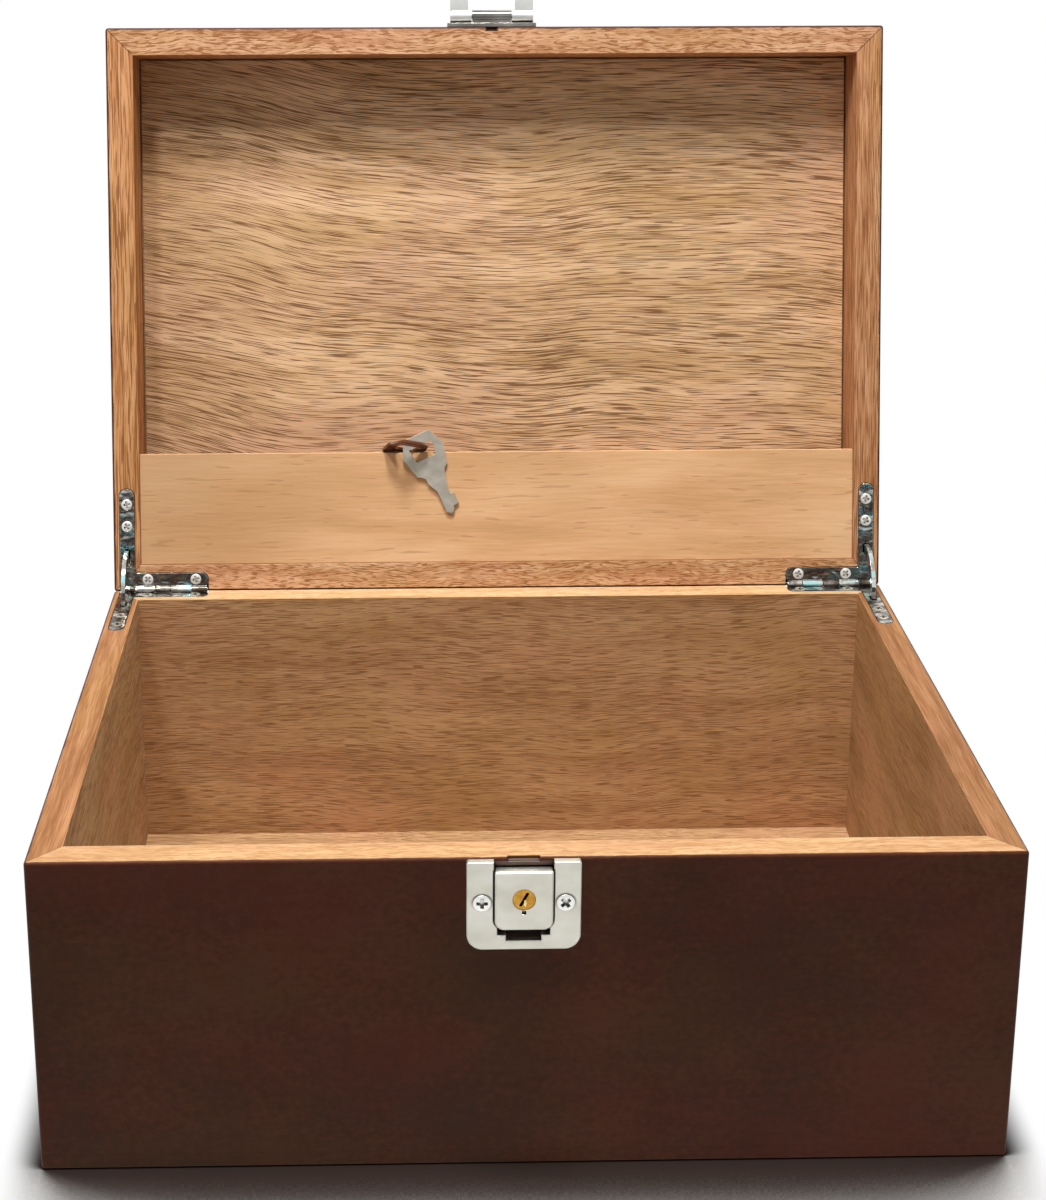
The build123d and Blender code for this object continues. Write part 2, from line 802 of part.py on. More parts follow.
hasp_back = plate_thickness + hasp_lift
hasp_window_bottom = button_bottom - hasp_window_gap
hasp_bottom = hasp_window_bottom - hasp_bar_width
hasp_window_half = button_width / 2 + hasp_window_gap
arm_inner = hasp_barrel_half + slide_clearance
arm_length = hasp_width / 2 - arm_inner
with BuildPart() as hasp_frame:
    with BuildSketch(swung(front_plane(hasp_back))):
        add(rounded_bottom(hasp_width / 2, hasp_bottom, hasp_pin_z, hasp_end_radius, plate_edge))
        add(
            rounded_bottom(
                hasp_window_half,
                hasp_window_bottom,
                hasp_pin_z + hasp_barrel_radius,
                button_radius + hasp_window_gap,
                plate_edge,
            ),
            mode=Mode.SUBTRACT,
        )
    extrude(amount=hasp_thickness)
    with BuildSketch(swung(front_plane(hasp_back + hasp_thickness))):
        add(
            rounded_bottom(
                hasp_window_half + hasp_rim_width,
                hasp_window_bottom - hasp_rim_width,
                base_height,
                button_radius + hasp_window_gap + hasp_rim_width,
                plate_edge,
            )
        )
        add(
            rounded_bottom(
                hasp_window_half,
                hasp_window_bottom,
                hasp_pin_z,
                button_radius + hasp_window_gap,
                plate_edge,
            ),
            mode=Mode.SUBTRACT,
        )
    extrude(amount=hasp_rim_height)
    for side in (-1, 1):
        start = arm_inner if side > 0 else -hasp_width / 2
        with BuildSketch(swung(across_plane(start))):
            Circle(hasp_barrel_radius)
        extrude(amount=arm_length)
    with BuildSketch(swung(front_plane(hasp_back + hasp_thickness / 2))):
        upright(hasp_lip_width / 2, hasp_lip_z, hasp_lip_z + hasp_lip_thickness)
    extrude(amount=-(hasp_back + hasp_thickness / 2 + hasp_lip_reach))
    with BuildSketch(swung(front_plane(hasp_nib_thickness - hasp_lip_reach))):
        upright(hasp_lip_width / 2, hasp_lip_z, hasp_lip_z + hasp_lip_thickness + hasp_nib_height)
    extrude(amount=-hasp_nib_thickness)
    with BuildSketch(swung(across_plane(-hasp_width / 2))):
        Circle(hasp_pin_radius + running_clearance)
    extrude(amount=hasp_width, mode=Mode.SUBTRACT)
save(hasp_frame.part, "hasp_frame")

# Keys. Across and along are measured from the middle of the hole in the bow.
pocket_edge_y = back - wall - pocket_height
pocket_face = lid_rim + pocket_inset


def stamped_key(plane):
    """A flat key: six-sided bow with a hole, stepped neck, and a blade with one square bit."""
    with BuildPart() as key:
        with BuildSketch(plane):
            with BuildSketch() as outline:
                with BuildLine():
                    Polyline(
                        (-key_bow_top_half, key_bow_top),
                        (key_bow_top_half, key_bow_top),
                        (key_bow_half, 0),
                        (key_bow_bottom_half, -key_bow_bottom),
                        (key_neck_half, -key_neck_start),
                        (key_blade_right, -key_shoulder),
                        (key_blade_right, -key_bit_start),
                        (key_bit, -key_bit_start),
                        (key_bit, -key_bit_end),
                        (key_blade_narrow, -key_bit_end),
                        (key_blade_narrow, -key_point_start),
                        (key_point_half, -key_length),
                        (-key_point_half, -key_length),
                        (-key_blade_left, -key_point_start),
                        (-key_blade_left, -key_shoulder),
                        (-key_waist_half, -key_waist_end),
                        (-key_waist_half, -key_waist_start),
                        (-key_neck_half, -key_neck_start),
                        (-key_bow_bottom_half, -key_bow_bottom),
                        (-key_bow_half, 0),
                        close=True,
                    )
                make_face()
                fillet(outline.vertices(), key_corner)
            with BuildSketch(mode=Mode.SUBTRACT) as hole:
                with BuildLine():
                    Polyline(
                        (-key_hole_top_half, key_hole_top),
                        (key_hole_top_half, key_hole_top),
                        (key_hole_bottom_half, -key_hole_bottom),
                        (-key_hole_bottom_half, -key_hole_bottom),
                        close=True,
                    )
                make_face()
                fillet(hole.vertices(), key_corner)
        extrude(amount=key_thickness)
    return key.part


tilt = radians(key_tilt)
front_key_plane = Plane(
    origin=(key_x, pocket_edge_y - key_rise, pocket_face - key_gap),
    x_dir=(cos(tilt), -sin(tilt), 0),
    z_dir=(0, 0, -1),
)
save(stamped_key(opened(front_key_plane)), "key_front")

# The second key hangs behind the board. Its bow lies over the board's top edge, through the first.
slope = radians(back_key_slope)
turn_in_plane = radians(back_key_turn)
key_middle = pocket_face - key_gap - key_thickness / 2
over_edge = (pocket_face + pocket_thickness - key_middle) * tan(slope)
over_edge += key_thickness / 2 / cos(slope) + key_gap
across = Vector(1, 0, 0)
down_back = Vector(0, sin(slope), cos(slope))
blade = down_back * cos(turn_in_plane) - across * sin(turn_in_plane)
key_normal = Vector(0, cos(slope), -sin(slope))
back_key_origin = (
    Vector(key_x + back_key_offset, pocket_edge_y - over_edge, key_middle)
    - blade * back_key_forward
    - key_normal * (key_thickness / 2)
)
back_key_plane = Plane(
    origin=back_key_origin,
    x_dir=across * cos(turn_in_plane) + down_back * sin(turn_in_plane),
    z_dir=key_normal,
)
save(stamped_key(opened(back_key_plane)), "key_back")

# Boards of the base and the lid, cut for the hinges and the lock
cuts = {
    "base_front_board": (base_boards["front"], [lock_room.part]),
    "base_back_board": (base_boards["back"], [base_room, mirrored(base_room)]),
    "base_left_board": (base_boards["left"], [base_room]),
    "base_right_board": (base_boards["right"], [mirrored(base_room)]),
    "lid_front_rail": (lid_boards["front"], [hasp_blanks]),
    "lid_back_rail": (lid_boards["back"], [lid_room, mirrored(lid_room)]),
    "lid_left_rail": (lid_boards["left"], [lid_room]),
    "lid_right_rail": (lid_boards["right"], [mirrored(lid_room)]),
}
for name, (board, rooms) in cuts.items():
    with BuildPart() as fitted_board:
        add(board)
        for room in rooms:
            add(room, mode=Mode.SUBTRACT)
        if name == "lid_front_rail":
            with BuildSketch(opened(front_plane(0))):
                with BuildLine():
                    Polyline(
                        (-lid_notch_width / 2, lid_rim),
                        (lid_notch_width / 2, lid_rim),
                        (lid_notch_bottom / 2, lid_rim + lid_notch_height),
                        (-lid_notch_bottom / 2, lid_rim + lid_notch_height),
                        close=True,
                    )
                make_face()
            extrude(amount=-lid_notch_depth, mode=Mode.SUBTRACT)
    save(fitted_board.part, name)

print(len(names), "pieces")
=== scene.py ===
import json
import math

import bpy
import numpy as np
from mathutils import Euler, Matrix, Vector


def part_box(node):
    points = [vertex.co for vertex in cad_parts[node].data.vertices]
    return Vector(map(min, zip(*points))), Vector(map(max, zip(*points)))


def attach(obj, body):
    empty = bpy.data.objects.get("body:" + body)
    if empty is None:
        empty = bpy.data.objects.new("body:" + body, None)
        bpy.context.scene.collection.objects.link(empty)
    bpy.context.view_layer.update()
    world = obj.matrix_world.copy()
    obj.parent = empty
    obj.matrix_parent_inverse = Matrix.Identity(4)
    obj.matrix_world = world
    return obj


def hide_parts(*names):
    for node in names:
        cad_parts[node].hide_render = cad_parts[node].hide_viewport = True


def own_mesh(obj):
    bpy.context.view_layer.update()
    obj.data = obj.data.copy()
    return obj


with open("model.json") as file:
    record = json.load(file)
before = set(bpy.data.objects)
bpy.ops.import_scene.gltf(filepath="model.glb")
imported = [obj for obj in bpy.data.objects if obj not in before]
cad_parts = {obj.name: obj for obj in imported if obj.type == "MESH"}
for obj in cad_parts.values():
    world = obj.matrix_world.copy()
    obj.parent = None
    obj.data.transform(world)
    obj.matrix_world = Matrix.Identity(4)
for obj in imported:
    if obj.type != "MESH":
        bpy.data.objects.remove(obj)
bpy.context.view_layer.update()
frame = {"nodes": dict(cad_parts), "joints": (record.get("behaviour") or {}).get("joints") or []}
nodes = frame["nodes"]
joints = {joint["name"]: joint for joint in frame["joints"]}
print("frame:", len(nodes), "nodes")

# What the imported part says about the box, in millimetres
metre = 1000
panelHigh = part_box("base_bottom_panel")[1]
halfWidth = panelHigh.x * metre
halfDepth = panelHigh.y * metre
bottomTop = panelHigh.z * metre
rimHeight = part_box("base_front_board")[1].z * metre
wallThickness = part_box("base_left_board")[1].x * metre + halfWidth
hingeLine = Vector(joints["lid_hinge"]["pos_m"]) * metre
openAngle = math.radians(-joints["lid_hinge"]["range_deg"][0])
lidRim = 2 * hingeLine.z - rimHeight
lidFrameHeight = 24  # from the lid's rim to the seam under its top panel
lidTop = lidRim + lidFrameHeight


# Colours and nodes
# sRGB hex to linear: each channel over 255, then the sRGB curve undone
def linear(hexColour):
    channels = np.array([int(hexColour[place:place + 2], 16) for place in (1, 3, 5)]) / 255
    straight = np.where(channels <= 0.04045, channels / 12.92, ((channels + 0.055) / 1.055) ** 2.4)
    return (*[float(channel) for channel in straight], 1.0)


# Sources put on a node's inputs, by name or in order: values, sockets, or nodes that stand for their
# first output in use
def feed(tree, node, inputs):
    for socket, source in inputs.items() if isinstance(inputs, dict) else enumerate(inputs):
        if isinstance(source, bpy.types.Node):
            source = next(output for output in source.outputs if output.enabled)
        if isinstance(source, bpy.types.NodeSocket):
            tree.links.new(source, node.inputs[socket])
        else:
            node.inputs[socket].default_value = source


# One node with its settings, its inputs and its ramp stops
def addNode(tree, kind, inputs=(), stops=None, **settings):
    node = tree.nodes.new(kind)
    for name, value in settings.items():
        setattr(node, name, value)
    feed(tree, node, inputs)
    if stops:
        elements = node.color_ramp.elements
        while len(elements) < len(stops):
            elements.new(0.5)
        for element, (position, hexColour) in zip(elements, stops):
            element.position = position
            element.color = linear(hexColour)
    return node


# Settings of a Map Range node that eases from one range to another and holds at its ends, and of a
# Mix node for colours. A Mix node takes its mask at 0, two values at 2 and 3, two colours at 6 and 7
smooth = {"interpolation_type": "SMOOTHSTEP"}
colours = {"data_type": "RGBA"}


# An empty material with its shader, and Object coordinates
def newMaterial(name):
    material = bpy.data.materials.new(name)
    material.use_nodes = True
    tree = material.node_tree
    tree.nodes.clear()
    shader = addNode(tree, "ShaderNodeBsdfPrincipled")
    addNode(tree, "ShaderNodeOutputMaterial", {"Surface": shader})
    coordinates = addNode(tree, "ShaderNodeTexCoord")
    return material, tree, shader, coordinates.outputs["Object"]


def dress(names, material):
    for name in names:
        slots = nodes[name].data.materials
        slots.clear()
        slots.append(material)


# Noise stretched to a length along X and a width across it. Its features are about half as long
# and half as thick as these sizes. Two noises with unlike shifts have nothing in common
shiftShares = (1, 1.7, 0.6)
noiseRoughness = 0.6


def stretched(tree, point, length, width, shift, detail=2.0):
    placed = addNode(tree, "ShaderNodeMapping", {
        "Vector": point, "Location": [shift * share for share in shiftShares],
        "Scale": (1 / length, 1 / width, 1 / width)})
    noise = addNode(tree, "ShaderNodeTexNoise", {
        "Vector": placed, "Scale": 1.0, "Detail": detail,
        "Roughness": noiseRoughness})
    return noise.outputs["Fac"]


# A point in millimetres
def inMillimetres(tree, objectPoint):
    return addNode(tree, "ShaderNodeVectorMath", {0: objectPoint, "Scale": float(metre)},
                   operation="SCALE").outputs[0]


# How far a point lies past the box's sides, |x| - w, and past its front or back, |y| - d
def pastSides(tree, x, y):
    across = addNode(tree, "ShaderNodeMath", (x,), operation="ABSOLUTE")
    along = addNode(tree, "ShaderNodeMath", (y,), operation="ABSOLUTE")
    return (addNode(tree, "ShaderNodeMath", (across, halfWidth), operation="SUBTRACT"),
            addNode(tree, "ShaderNodeMath", (along, halfDepth), operation="SUBTRACT"))


# Wood
# Levels on a noise: most of its area lies between the low and the high one
lowLevel, middleLevel, highLevel = 0.3, 0.5, 0.7
layerShift = {"fibre": 5.3, "pore": 9.1, "crowd": 12.4, "cloud": 17.9}
# A pore opens where its noise peaks past its level, which lies higher where pores are few
poreStart = {"crowdRange": (0.35, 0.65), "few": 0.04, "crowded": -0.02, "edge": 0.05}


# Ramp stops for the three tones of a look
def toneStops(look):
    return [(lowLevel, look["dark"]), (middleLevel, look["middle"]), (highLevel, look["light"])]


# Figure of one cut of timber with its grain along X, in millimetres: growth bands and fibre are
# noise stretched along the grain, open pores are the peaks of a narrower stretched noise, crowded
# in some places. A slow noise bends the grain to the side, a sweep lets it rise as the square of
# the distance past a line, and clouds turn the colour olive in some places and pink in others
def timber(tree, point, look):
    seed = look["seed"]
    slow = addNode(tree, "ShaderNodeTexNoise", {
        "Vector": point, "Scale": 1 / look["bendLength"], "Detail": 1.0})
    drift = addNode(tree, "ShaderNodeMath", (slow, middleLevel), operation="SUBTRACT")
    aside = addNode(tree, "ShaderNodeVectorMath", {0: look["bend"], "Scale": drift},
                    operation="SCALE")
    bent = addNode(tree, "ShaderNodeVectorMath", (point, aside), operation="ADD")
    if "sweep" in look:
        x = addNode(tree, "ShaderNodeSeparateXYZ", (point,)).outputs[0]
        beyond = addNode(tree, "ShaderNodeMath", (x, look["sweepFrom"]), operation="SUBTRACT")
        past = addNode(tree, "ShaderNodeMath", (beyond, 0.0), operation="MINIMUM")
        square = addNode(tree, "ShaderNodeMath", (past, past), operation="MULTIPLY")
        rise = addNode(tree, "ShaderNodeMath", (square, look["sweep"]), operation="MULTIPLY")
        lifted = addNode(tree, "ShaderNodeCombineXYZ", {1: rise})
        bent = addNode(tree, "ShaderNodeVectorMath", (bent, lifted), operation="ADD")
    bands = stretched(tree, bent, *look["band"], seed)
    fibre = stretched(tree, bent, *look["fibre"], seed + layerShift["fibre"], detail=3.0)
    peaks = stretched(tree, bent, *look["pore"], seed + layerShift["pore"], detail=0.4)
    crowd = stretched(tree, bent, *look["crowd"], seed + layerShift["crowd"], detail=1.0)
    evened = addNode(tree, "ShaderNodeMath", (fibre, middleLevel), operation="SUBTRACT")
    tone = addNode(tree, "ShaderNodeMath", (evened, look["fibreShare"], bands),
                   operation="MULTIPLY_ADD")
    colour = addNode(tree, "ShaderNodeValToRGB", {"Fac": tone}, toneStops(look))
    cloud = stretched(tree, point, *look["cloud"], seed + layerShift["cloud"], detail=1.0)
    for tint, reach in (("olive", lowLevel), ("pink", highLevel)):
        mask = addNode(tree, "ShaderNodeMapRange", (
            cloud, middleLevel, reach, 0.0, look["cloudShare"]), **smooth)
        colour = addNode(tree, "ShaderNodeMix", {0: mask, 6: colour, 7: linear(look[tint])},
                         **colours)
    # Painted shade: where a look has it, the colour darkens across a range of x
    if "shade" in look:
        x = addNode(tree, "ShaderNodeSeparateXYZ", (point,)).outputs[0]
        mask = addNode(tree, "ShaderNodeMapRange", (
            x, *look["shadeAcross"], 0.0, look["shadeShare"]), **smooth)
        colour = addNode(tree, "ShaderNodeMix", {0: mask, 6: colour, 7: linear(look["shade"])},
                         **colours)
    level = addNode(tree, "ShaderNodeMapRange", (
        crowd, *poreStart["crowdRange"], look["poreLevel"] + poreStart["few"],
        look["poreLevel"] + poreStart["crowded"]), **smooth)
    above = addNode(tree, "ShaderNodeMath", (peaks, level), operation="SUBTRACT")
    pores = addNode(tree, "ShaderNodeMapRange", (
        above, 0.0, poreStart["edge"], 0.0, look["poreShare"]), **smooth)
    colour = addNode(tree, "ShaderNodeMix", {0: pores, 6: colour, 7: linear(look["poreColour"])},
                     **colours)
    relief = addNode(tree, "ShaderNodeMath", (fibre, pores), operation="SUBTRACT")
    return colour, relief


# Okoume, sawn and sanded: pinkish tan and dull, with short dark flecks where pores are cut
# lengthways. Real pores are 0.2 mm wide, and are drawn up to twice as wide so that they show
railTimber = {"seed": 1.3, "bend": (0, 7, 0), "bendLength": 26, "band": (50, 3.0),
              "fibre": (4.5, 0.6), "fibreShare": 1.1, "pore": (3.6, 0.5), "crowd": (20, 5),
              "poreLevel": 0.55, "poreShare": 0.75, "dark": "#bf885b", "middle": "#d6a67a",
              "light": "#e9be93", "poreColour": "#98602f", "cloud": (60, 20), "cloudShare": 0.25,
              "olive": "#c79a66", "pink": "#d99b7c"}
lidTopRail = railTimber | {"seed": 2.2, "dark": "#b47f56", "middle": "#cd9a72",
                           "light": "#e2b28a", "poreColour": "#935a30"}
# The same wood on the lid's side rails, painted darker and redder than the lid's other rails:
# painted shade, as their grain runs away from the lamps
lidLeftRail = railTimber | {"seed": 4.1, "bend": (0, 2.5, 0), "bendLength": 50, "fibre": (12, 0.6),
                            "pore": (13, 0.42), "dark": "#b27542",
                            "middle": "#ce9260", "light": "#e0a876", "poreColour": "#85502a",
                            "olive": "#b98a4e", "pink": "#c88a62"}
# The right rail painted darker still: painted shade on the side away from the key lamp
lidRightRail = lidLeftRail | {"seed": 4.9, "dark": "#a97044", "middle": "#c18a60",
                              "light": "#d6a278"}
# Base rims, sanded finer than the lid's: the flecks hardly show
frontRim = railTimber | {"seed": 8.2, "fibreShare": 0.8, "poreShare": 0.4, "dark": "#bb8a5c",
                         "middle": "#cc9f72", "light": "#dab182", "poreColour": "#a5734a",
                         "olive": "#c9a06a", "pink": "#d2a07c"}
# The rear rim, painted lighter and yellower than the front one: painted light
rearRim = frontRim | {"seed": 9.7, "dark": "#c69c6c", "middle": "#dab284", "light": "#e6c294"}
# Side rims, painted darker and redder than the front and rear ones, the right one darker still:
# painted shade
sideRim = lidLeftRail | {"seed": 6.6, "fibreShare": 0.6, "poreShare": 0.4, "dark": "#8e5d37",
                         "middle": "#a5734a", "light": "#b9885e"}
rightRim = sideRim | {"seed": 6.9, "dark": "#835530", "middle": "#986941",
                      "light": "#ab7c53"}

# The same wood peeled as veneer for the inner faces: long dark pores that follow a wavy grain
rearVeneer = {"seed": 7.7, "bend": (0, 0, 14), "bendLength": 90, "band": (90, 9),
              "fibre": (10, 0.5), "fibreShare": 1.1, "pore": (9.0, 0.34), "crowd": (60, 14),
              "poreLevel": 0.54, "poreShare": 0.7, "dark": "#b38a60", "middle": "#c59d72",
              "light": "#d2ab7e", "poreColour": "#875f3c", "cloud": (70, 40), "cloudShare": 0.4,
              "olive": "#b8935a", "pink": "#cf9c76"}
# Veneer of the side walls, painted lighter on the left and darker on the right: painted light and
# shade
leftVeneer = rearVeneer | {"seed": 3.8, "dark": "#b69870", "middle": "#c7ab84",
                           "light": "#d4b892"}
rightVeneer = rearVeneer | {"seed": 5.1, "dark": "#94704a", "middle": "#a7825a",
                            "light": "#b79066"}
# The lining, the same veneer, with a painted shadow of the lid's left rail darkening its left strip
liningVeneer = {"seed": 2.9, "bend": (0, 22, 0), "bendLength": 120, "band": (90, 12),
                "fibre": (12, 0.5), "fibreShare": 0.9, "pore": (14, 0.32), "crowd": (70, 26),
                "poreLevel": 0.535, "poreShare": 0.85, "dark": "#c9a070", "middle": "#e0b688",
                "light": "#f1c89d", "poreColour": "#744c2d", "cloud": (90, 50),
                "cloudShare": 0.35, "olive": "#cba978", "pink": "#dcab90", "sweep": 0.0007,
                "sweepFrom": 20, "shade": "#9a7750", "shadeAcross": (-80, -135),
                "shadeShare": 0.35}

# Birch, sanded: pale and even, with a few faint brown streaks, and painted shade darkening its left
# end
pocketTimber = {"seed": 5.5, "bend": (0, 4, 0), "bendLength": 70, "band": (90, 16),
                "fibre": (16, 1.1), "fibreShare": 0.5, "pore": (11, 1.2), "crowd": (40, 12),
                "poreLevel": 0.67, "poreShare": 0.4, "dark": "#dcac7a", "middle": "#ebba89",
                "light": "#f5c898", "poreColour": "#b98a5e", "cloud": (75, 60),
                "cloudShare": 0.4, "olive": "#dcb080", "pink": "#f4cca0", "shade": "#b78a5e",
                "shadeAcross": (-40, -130), "shadeShare": 0.5}

# Espresso stain wiped on by hand under a satin lacquer: near black brown with reddish and greenish
# clouds, and a soft shine. It creeps over the rim's edge by a little less or more along the grain
stain = {"dark": "#391b10", "middle": "#472113", "light": "#532b1a", "red": "#56241b",
         "green": "#3e2b17", "creep": 0.8, "creepNoise": 0.3, "roughness": 0.42,
         "figureShare": 0.02, "cloud": (60, 45), "mottle": (2.6, 2.2), "mottleShare": 0.8,
         "redRange": (0.45, 0.7), "redShare": 0.5, "greenRange": (0.52, 0.3), "greenShare": 0.4,
         "creepGrain": (6, 1.5), "creepEdge": 0.2, "shinePatch": (12, 9),
         "shine": (-0.05, 0.08)}
stainShift = {"cloud": 3.0, "mottle": 8.0, "turn": 6.0, "creep": 2.0, "shine": 4.0}
# Bare and veneered wood: a low specular, as sanded open grain has, and fine relief from its fibres
# and pores. Roughness falls as the relief rises, because high fibres are rubbed smoother
bareWood = {"specular": 0.12, "reliefRange": (0.2, 0.8), "rimRough": (0.62, 0.5),
            "sheetRough": (0.66, 0.52), "panelRough": 0.6, "bump": 0.35, "panelBump": 0.08,
            "bumpHeight": 0.0002, "underStain": 0.5, "rimShare": 0.15}
# Dark lines where boards meet, and the sawn wood of the recesses, painted dark as the shade in them;
# the same painted shade is the line where a sheet meets its frame
seams = {"colour": "#33190e", "width": 0.3, "fade": 1.3, "baseShare": 0.3, "lidShare": 0.65,
         "recess": "#6b4529", "sheetRange": (0.15, 0.6), "sheetShare": 0.75}
# Where a board's colours change: millimetres from its wall's inner face, under its rim and under
# its outer face
edges = {"veneer": (0.1, 0.02), "cutFromWall": (0.1, 0.2), "seamFromWall": (0.1, 0.6),
         "cutUnderRim": (0.1, 0.3), "cutUnderFace": (-1.1, -1.3), "panelFace": (0.1, 0.05),
         "panelInside": (-2.0, -3.0)}


# Coordinates of a piece on the shut box, in millimetres: a piece of the lid is turned back about
# the hinge line, point = R (p - c) + c with c on the line
def boxPoint(tree, objectPoint, onLid):
    turn = Matrix.Rotation(openAngle, 3, "X") if onLid else Matrix.Identity(3)
    shift = hingeLine - turn @ hingeLine
    placed = addNode(tree, "ShaderNodeMapping", {
        "Vector": objectPoint, "Scale": (metre,) * 3, "Rotation": turn.to_euler(),
        "Location": shift})
    return placed.outputs[0]


# The same point with its grain turned to run along X
def alongGrain(tree, point, grain):
    if grain == "x":
        return point
    turned = addNode(tree, "ShaderNodeMapping", {"Vector": point,
                                                 "Rotation": (0, 0, math.radians(90))})
    return turned.outputs[0]


# Stained outer colour: a trace of the timber below, with slow clouds that turn red or greenish
def stainedColour(tree, point, figure):
    clouds = stretched(tree, point, *stain["cloud"], stainShift["cloud"], detail=3.0)
    mottle = stretched(tree, point, *stain["mottle"], stainShift["mottle"])
    evened = addNode(tree, "ShaderNodeMath", (mottle, middleLevel), operation="SUBTRACT")
    tone = addNode(tree, "ShaderNodeMath", (evened, stain["mottleShare"], clouds),
                   operation="MULTIPLY_ADD")
    colour = addNode(tree, "ShaderNodeValToRGB", {"Fac": tone}, toneStops(stain))
    turn = stretched(tree, point, *stain["cloud"], stainShift["turn"])
    for tint in ("red", "green"):
        mask = addNode(tree, "ShaderNodeMapRange", (
            turn, *stain[tint + "Range"], 0.0, stain[tint + "Share"]), **smooth)
        colour = addNode(tree, "ShaderNodeMix", {0: mask, 6: colour, 7: linear(stain[tint])},
                         **colours)
    return addNode(tree, "ShaderNodeMix", {0: stain["figureShare"], 6: colour, 7: figure},
                   **colours)


# Roughness of the lacquer over the stain, a little uneven in patches of a hand's wipe
def lacquerRoughness(tree, point):
    patches = stretched(tree, point, *stain["shinePatch"], stainShift["shine"])
    ends = [stain["roughness"] + part for part in stain["shine"]]
    return addNode(tree, "ShaderNodeMapRange", (patches, lowLevel, highLevel, *ends), **smooth)


# Colour, roughness, relief and specular of a piece of wood, put on its shader
def finishWood(tree, shader, colour, roughness, relief, strength):
    bump = addNode(tree, "ShaderNodeBump", {"Height": relief, "Strength": strength,
                                            "Distance": bareWood["bumpHeight"]})
    feed(tree, shader, {"Base Color": colour, "Roughness": roughness, "Normal": bump,
                        "Specular IOR Level": bareWood["specular"]})


# Mask by the depth under the outer faces, with its range counted from the wall's inner face
def fromWall(tree, outside, name):
    depths = [depth - wallThickness for depth in edges[name]]
    return addNode(tree, "ShaderNodeMapRange", (outside, *depths), **smooth)


# Dark line along the mitres, where x and y lie as deep under their faces, and along the seam at
# one height
def seamLine(tree, beside, before, outside, z, seamLevel, share):
    apart = addNode(tree, "ShaderNodeMath", (beside, before), operation="SUBTRACT")
    mitre = addNode(tree, "ShaderNodeMath", (apart,), operation="ABSOLUTE")
    above = addNode(tree, "ShaderNodeMath", (z, seamLevel), operation="SUBTRACT")
    seam = addNode(tree, "ShaderNodeMath", (above,), operation="ABSOLUTE")
    nearest = addNode(tree, "ShaderNodeMath", (mitre, seam), operation="MINIMUM")
    line = addNode(tree, "ShaderNodeMapRange", (
        nearest, seams["width"] / 2, seams["width"] * seams["fade"], share, 0.0), **smooth)
    return addNode(tree, "ShaderNodeMath", (line, fromWall(tree, outside, "seamFromWall")),
                   operation="MULTIPLY")


# A board of the box: bare rim, veneered inside, stained outside, with sawn wood in the recesses of
# its rim, painted dark as the shade in them. The masks come from how deep a point lies under the
# outer faces and under the rim
def boardMaterial(name, grain, onLid, rimLook, wallLook, rimLevel, seamLevel, seamShare):
    material, tree, shader, objectPoint = newMaterial(name)
    point = boxPoint(tree, objectPoint, onLid)
    x, y, z = addNode(tree, "ShaderNodeSeparateXYZ", (point,)).outputs
    beside, before = pastSides(tree, x, y)
    outside = addNode(tree, "ShaderNodeMath", (beside, before), operation="MAXIMUM")
    grained = alongGrain(tree, point, grain)
    rimColour, rimRelief = timber(tree, grained, rimLook)
    wallColour, wallRelief = timber(tree, grained, wallLook)
    inner = fromWall(tree, outside, "veneer")
    natural = addNode(tree, "ShaderNodeMix", {0: inner, 6: rimColour, 7: wallColour}, **colours)
    above = addNode(tree, "ShaderNodeMath", (z, rimLevel), operation="SUBTRACT")
    underRim = addNode(tree, "ShaderNodeMath", (above,), operation="ABSOLUTE")
    belowRim = addNode(tree, "ShaderNodeMapRange", (underRim, *edges["cutUnderRim"]), **smooth)
    belowFace = addNode(tree, "ShaderNodeMapRange", (outside, *edges["cutUnderFace"]), **smooth)
    below = addNode(tree, "ShaderNodeMath", (belowRim, belowFace), operation="MULTIPLY")
    # Painted shade in the rim's recesses, over their sawn wood
    shadedCut = addNode(tree, "ShaderNodeMath", (below, fromWall(tree, outside, "cutFromWall")),
                  operation="MULTIPLY")
    natural = addNode(tree, "ShaderNodeMix", {0: shadedCut, 6: natural, 7: linear(seams["recess"])},
                      **colours)
    creepNoise = stretched(tree, grained, *stain["creepGrain"], stainShift["creep"])
    creepDrift = addNode(tree, "ShaderNodeMath", (creepNoise, middleLevel), operation="SUBTRACT")
    wander = addNode(tree, "ShaderNodeMath", (creepDrift, stain["creepNoise"] * 2, outside),
                     operation="MULTIPLY_ADD")
    stained = addNode(tree, "ShaderNodeMapRange", (
        wander, -stain["creep"] - stain["creepEdge"], -stain["creep"] + stain["creepEdge"]),
        **smooth)
    outer = stainedColour(tree, point, rimColour)
    colour = addNode(tree, "ShaderNodeMix", {0: stained, 6: natural, 7: outer}, **colours)
    line = seamLine(tree, beside, before, outside, z, seamLevel, seamShare)
    colour = addNode(tree, "ShaderNodeMix", {0: line, 6: colour, 7: linear(seams["colour"])},
                     **colours)
    bareRough = addNode(tree, "ShaderNodeMapRange", (
        rimRelief, *bareWood["reliefRange"], *bareWood["rimRough"]), **smooth)
    rough = addNode(tree, "ShaderNodeMix", {0: stained, 2: bareRough,
                                            3: lacquerRoughness(tree, point)})
    relief = addNode(tree, "ShaderNodeMix", {0: inner, 2: rimRelief, 3: wallRelief})
    filled = addNode(tree, "ShaderNodeMix", {0: stained, 2: relief, 3: bareWood["underStain"]})
    height = addNode(tree, "ShaderNodeMath", (rimRelief, bareWood["rimShare"], filled),
                     operation="MULTIPLY_ADD")
    finishWood(tree, shader, colour, rough, height, bareWood["bump"])
    return material


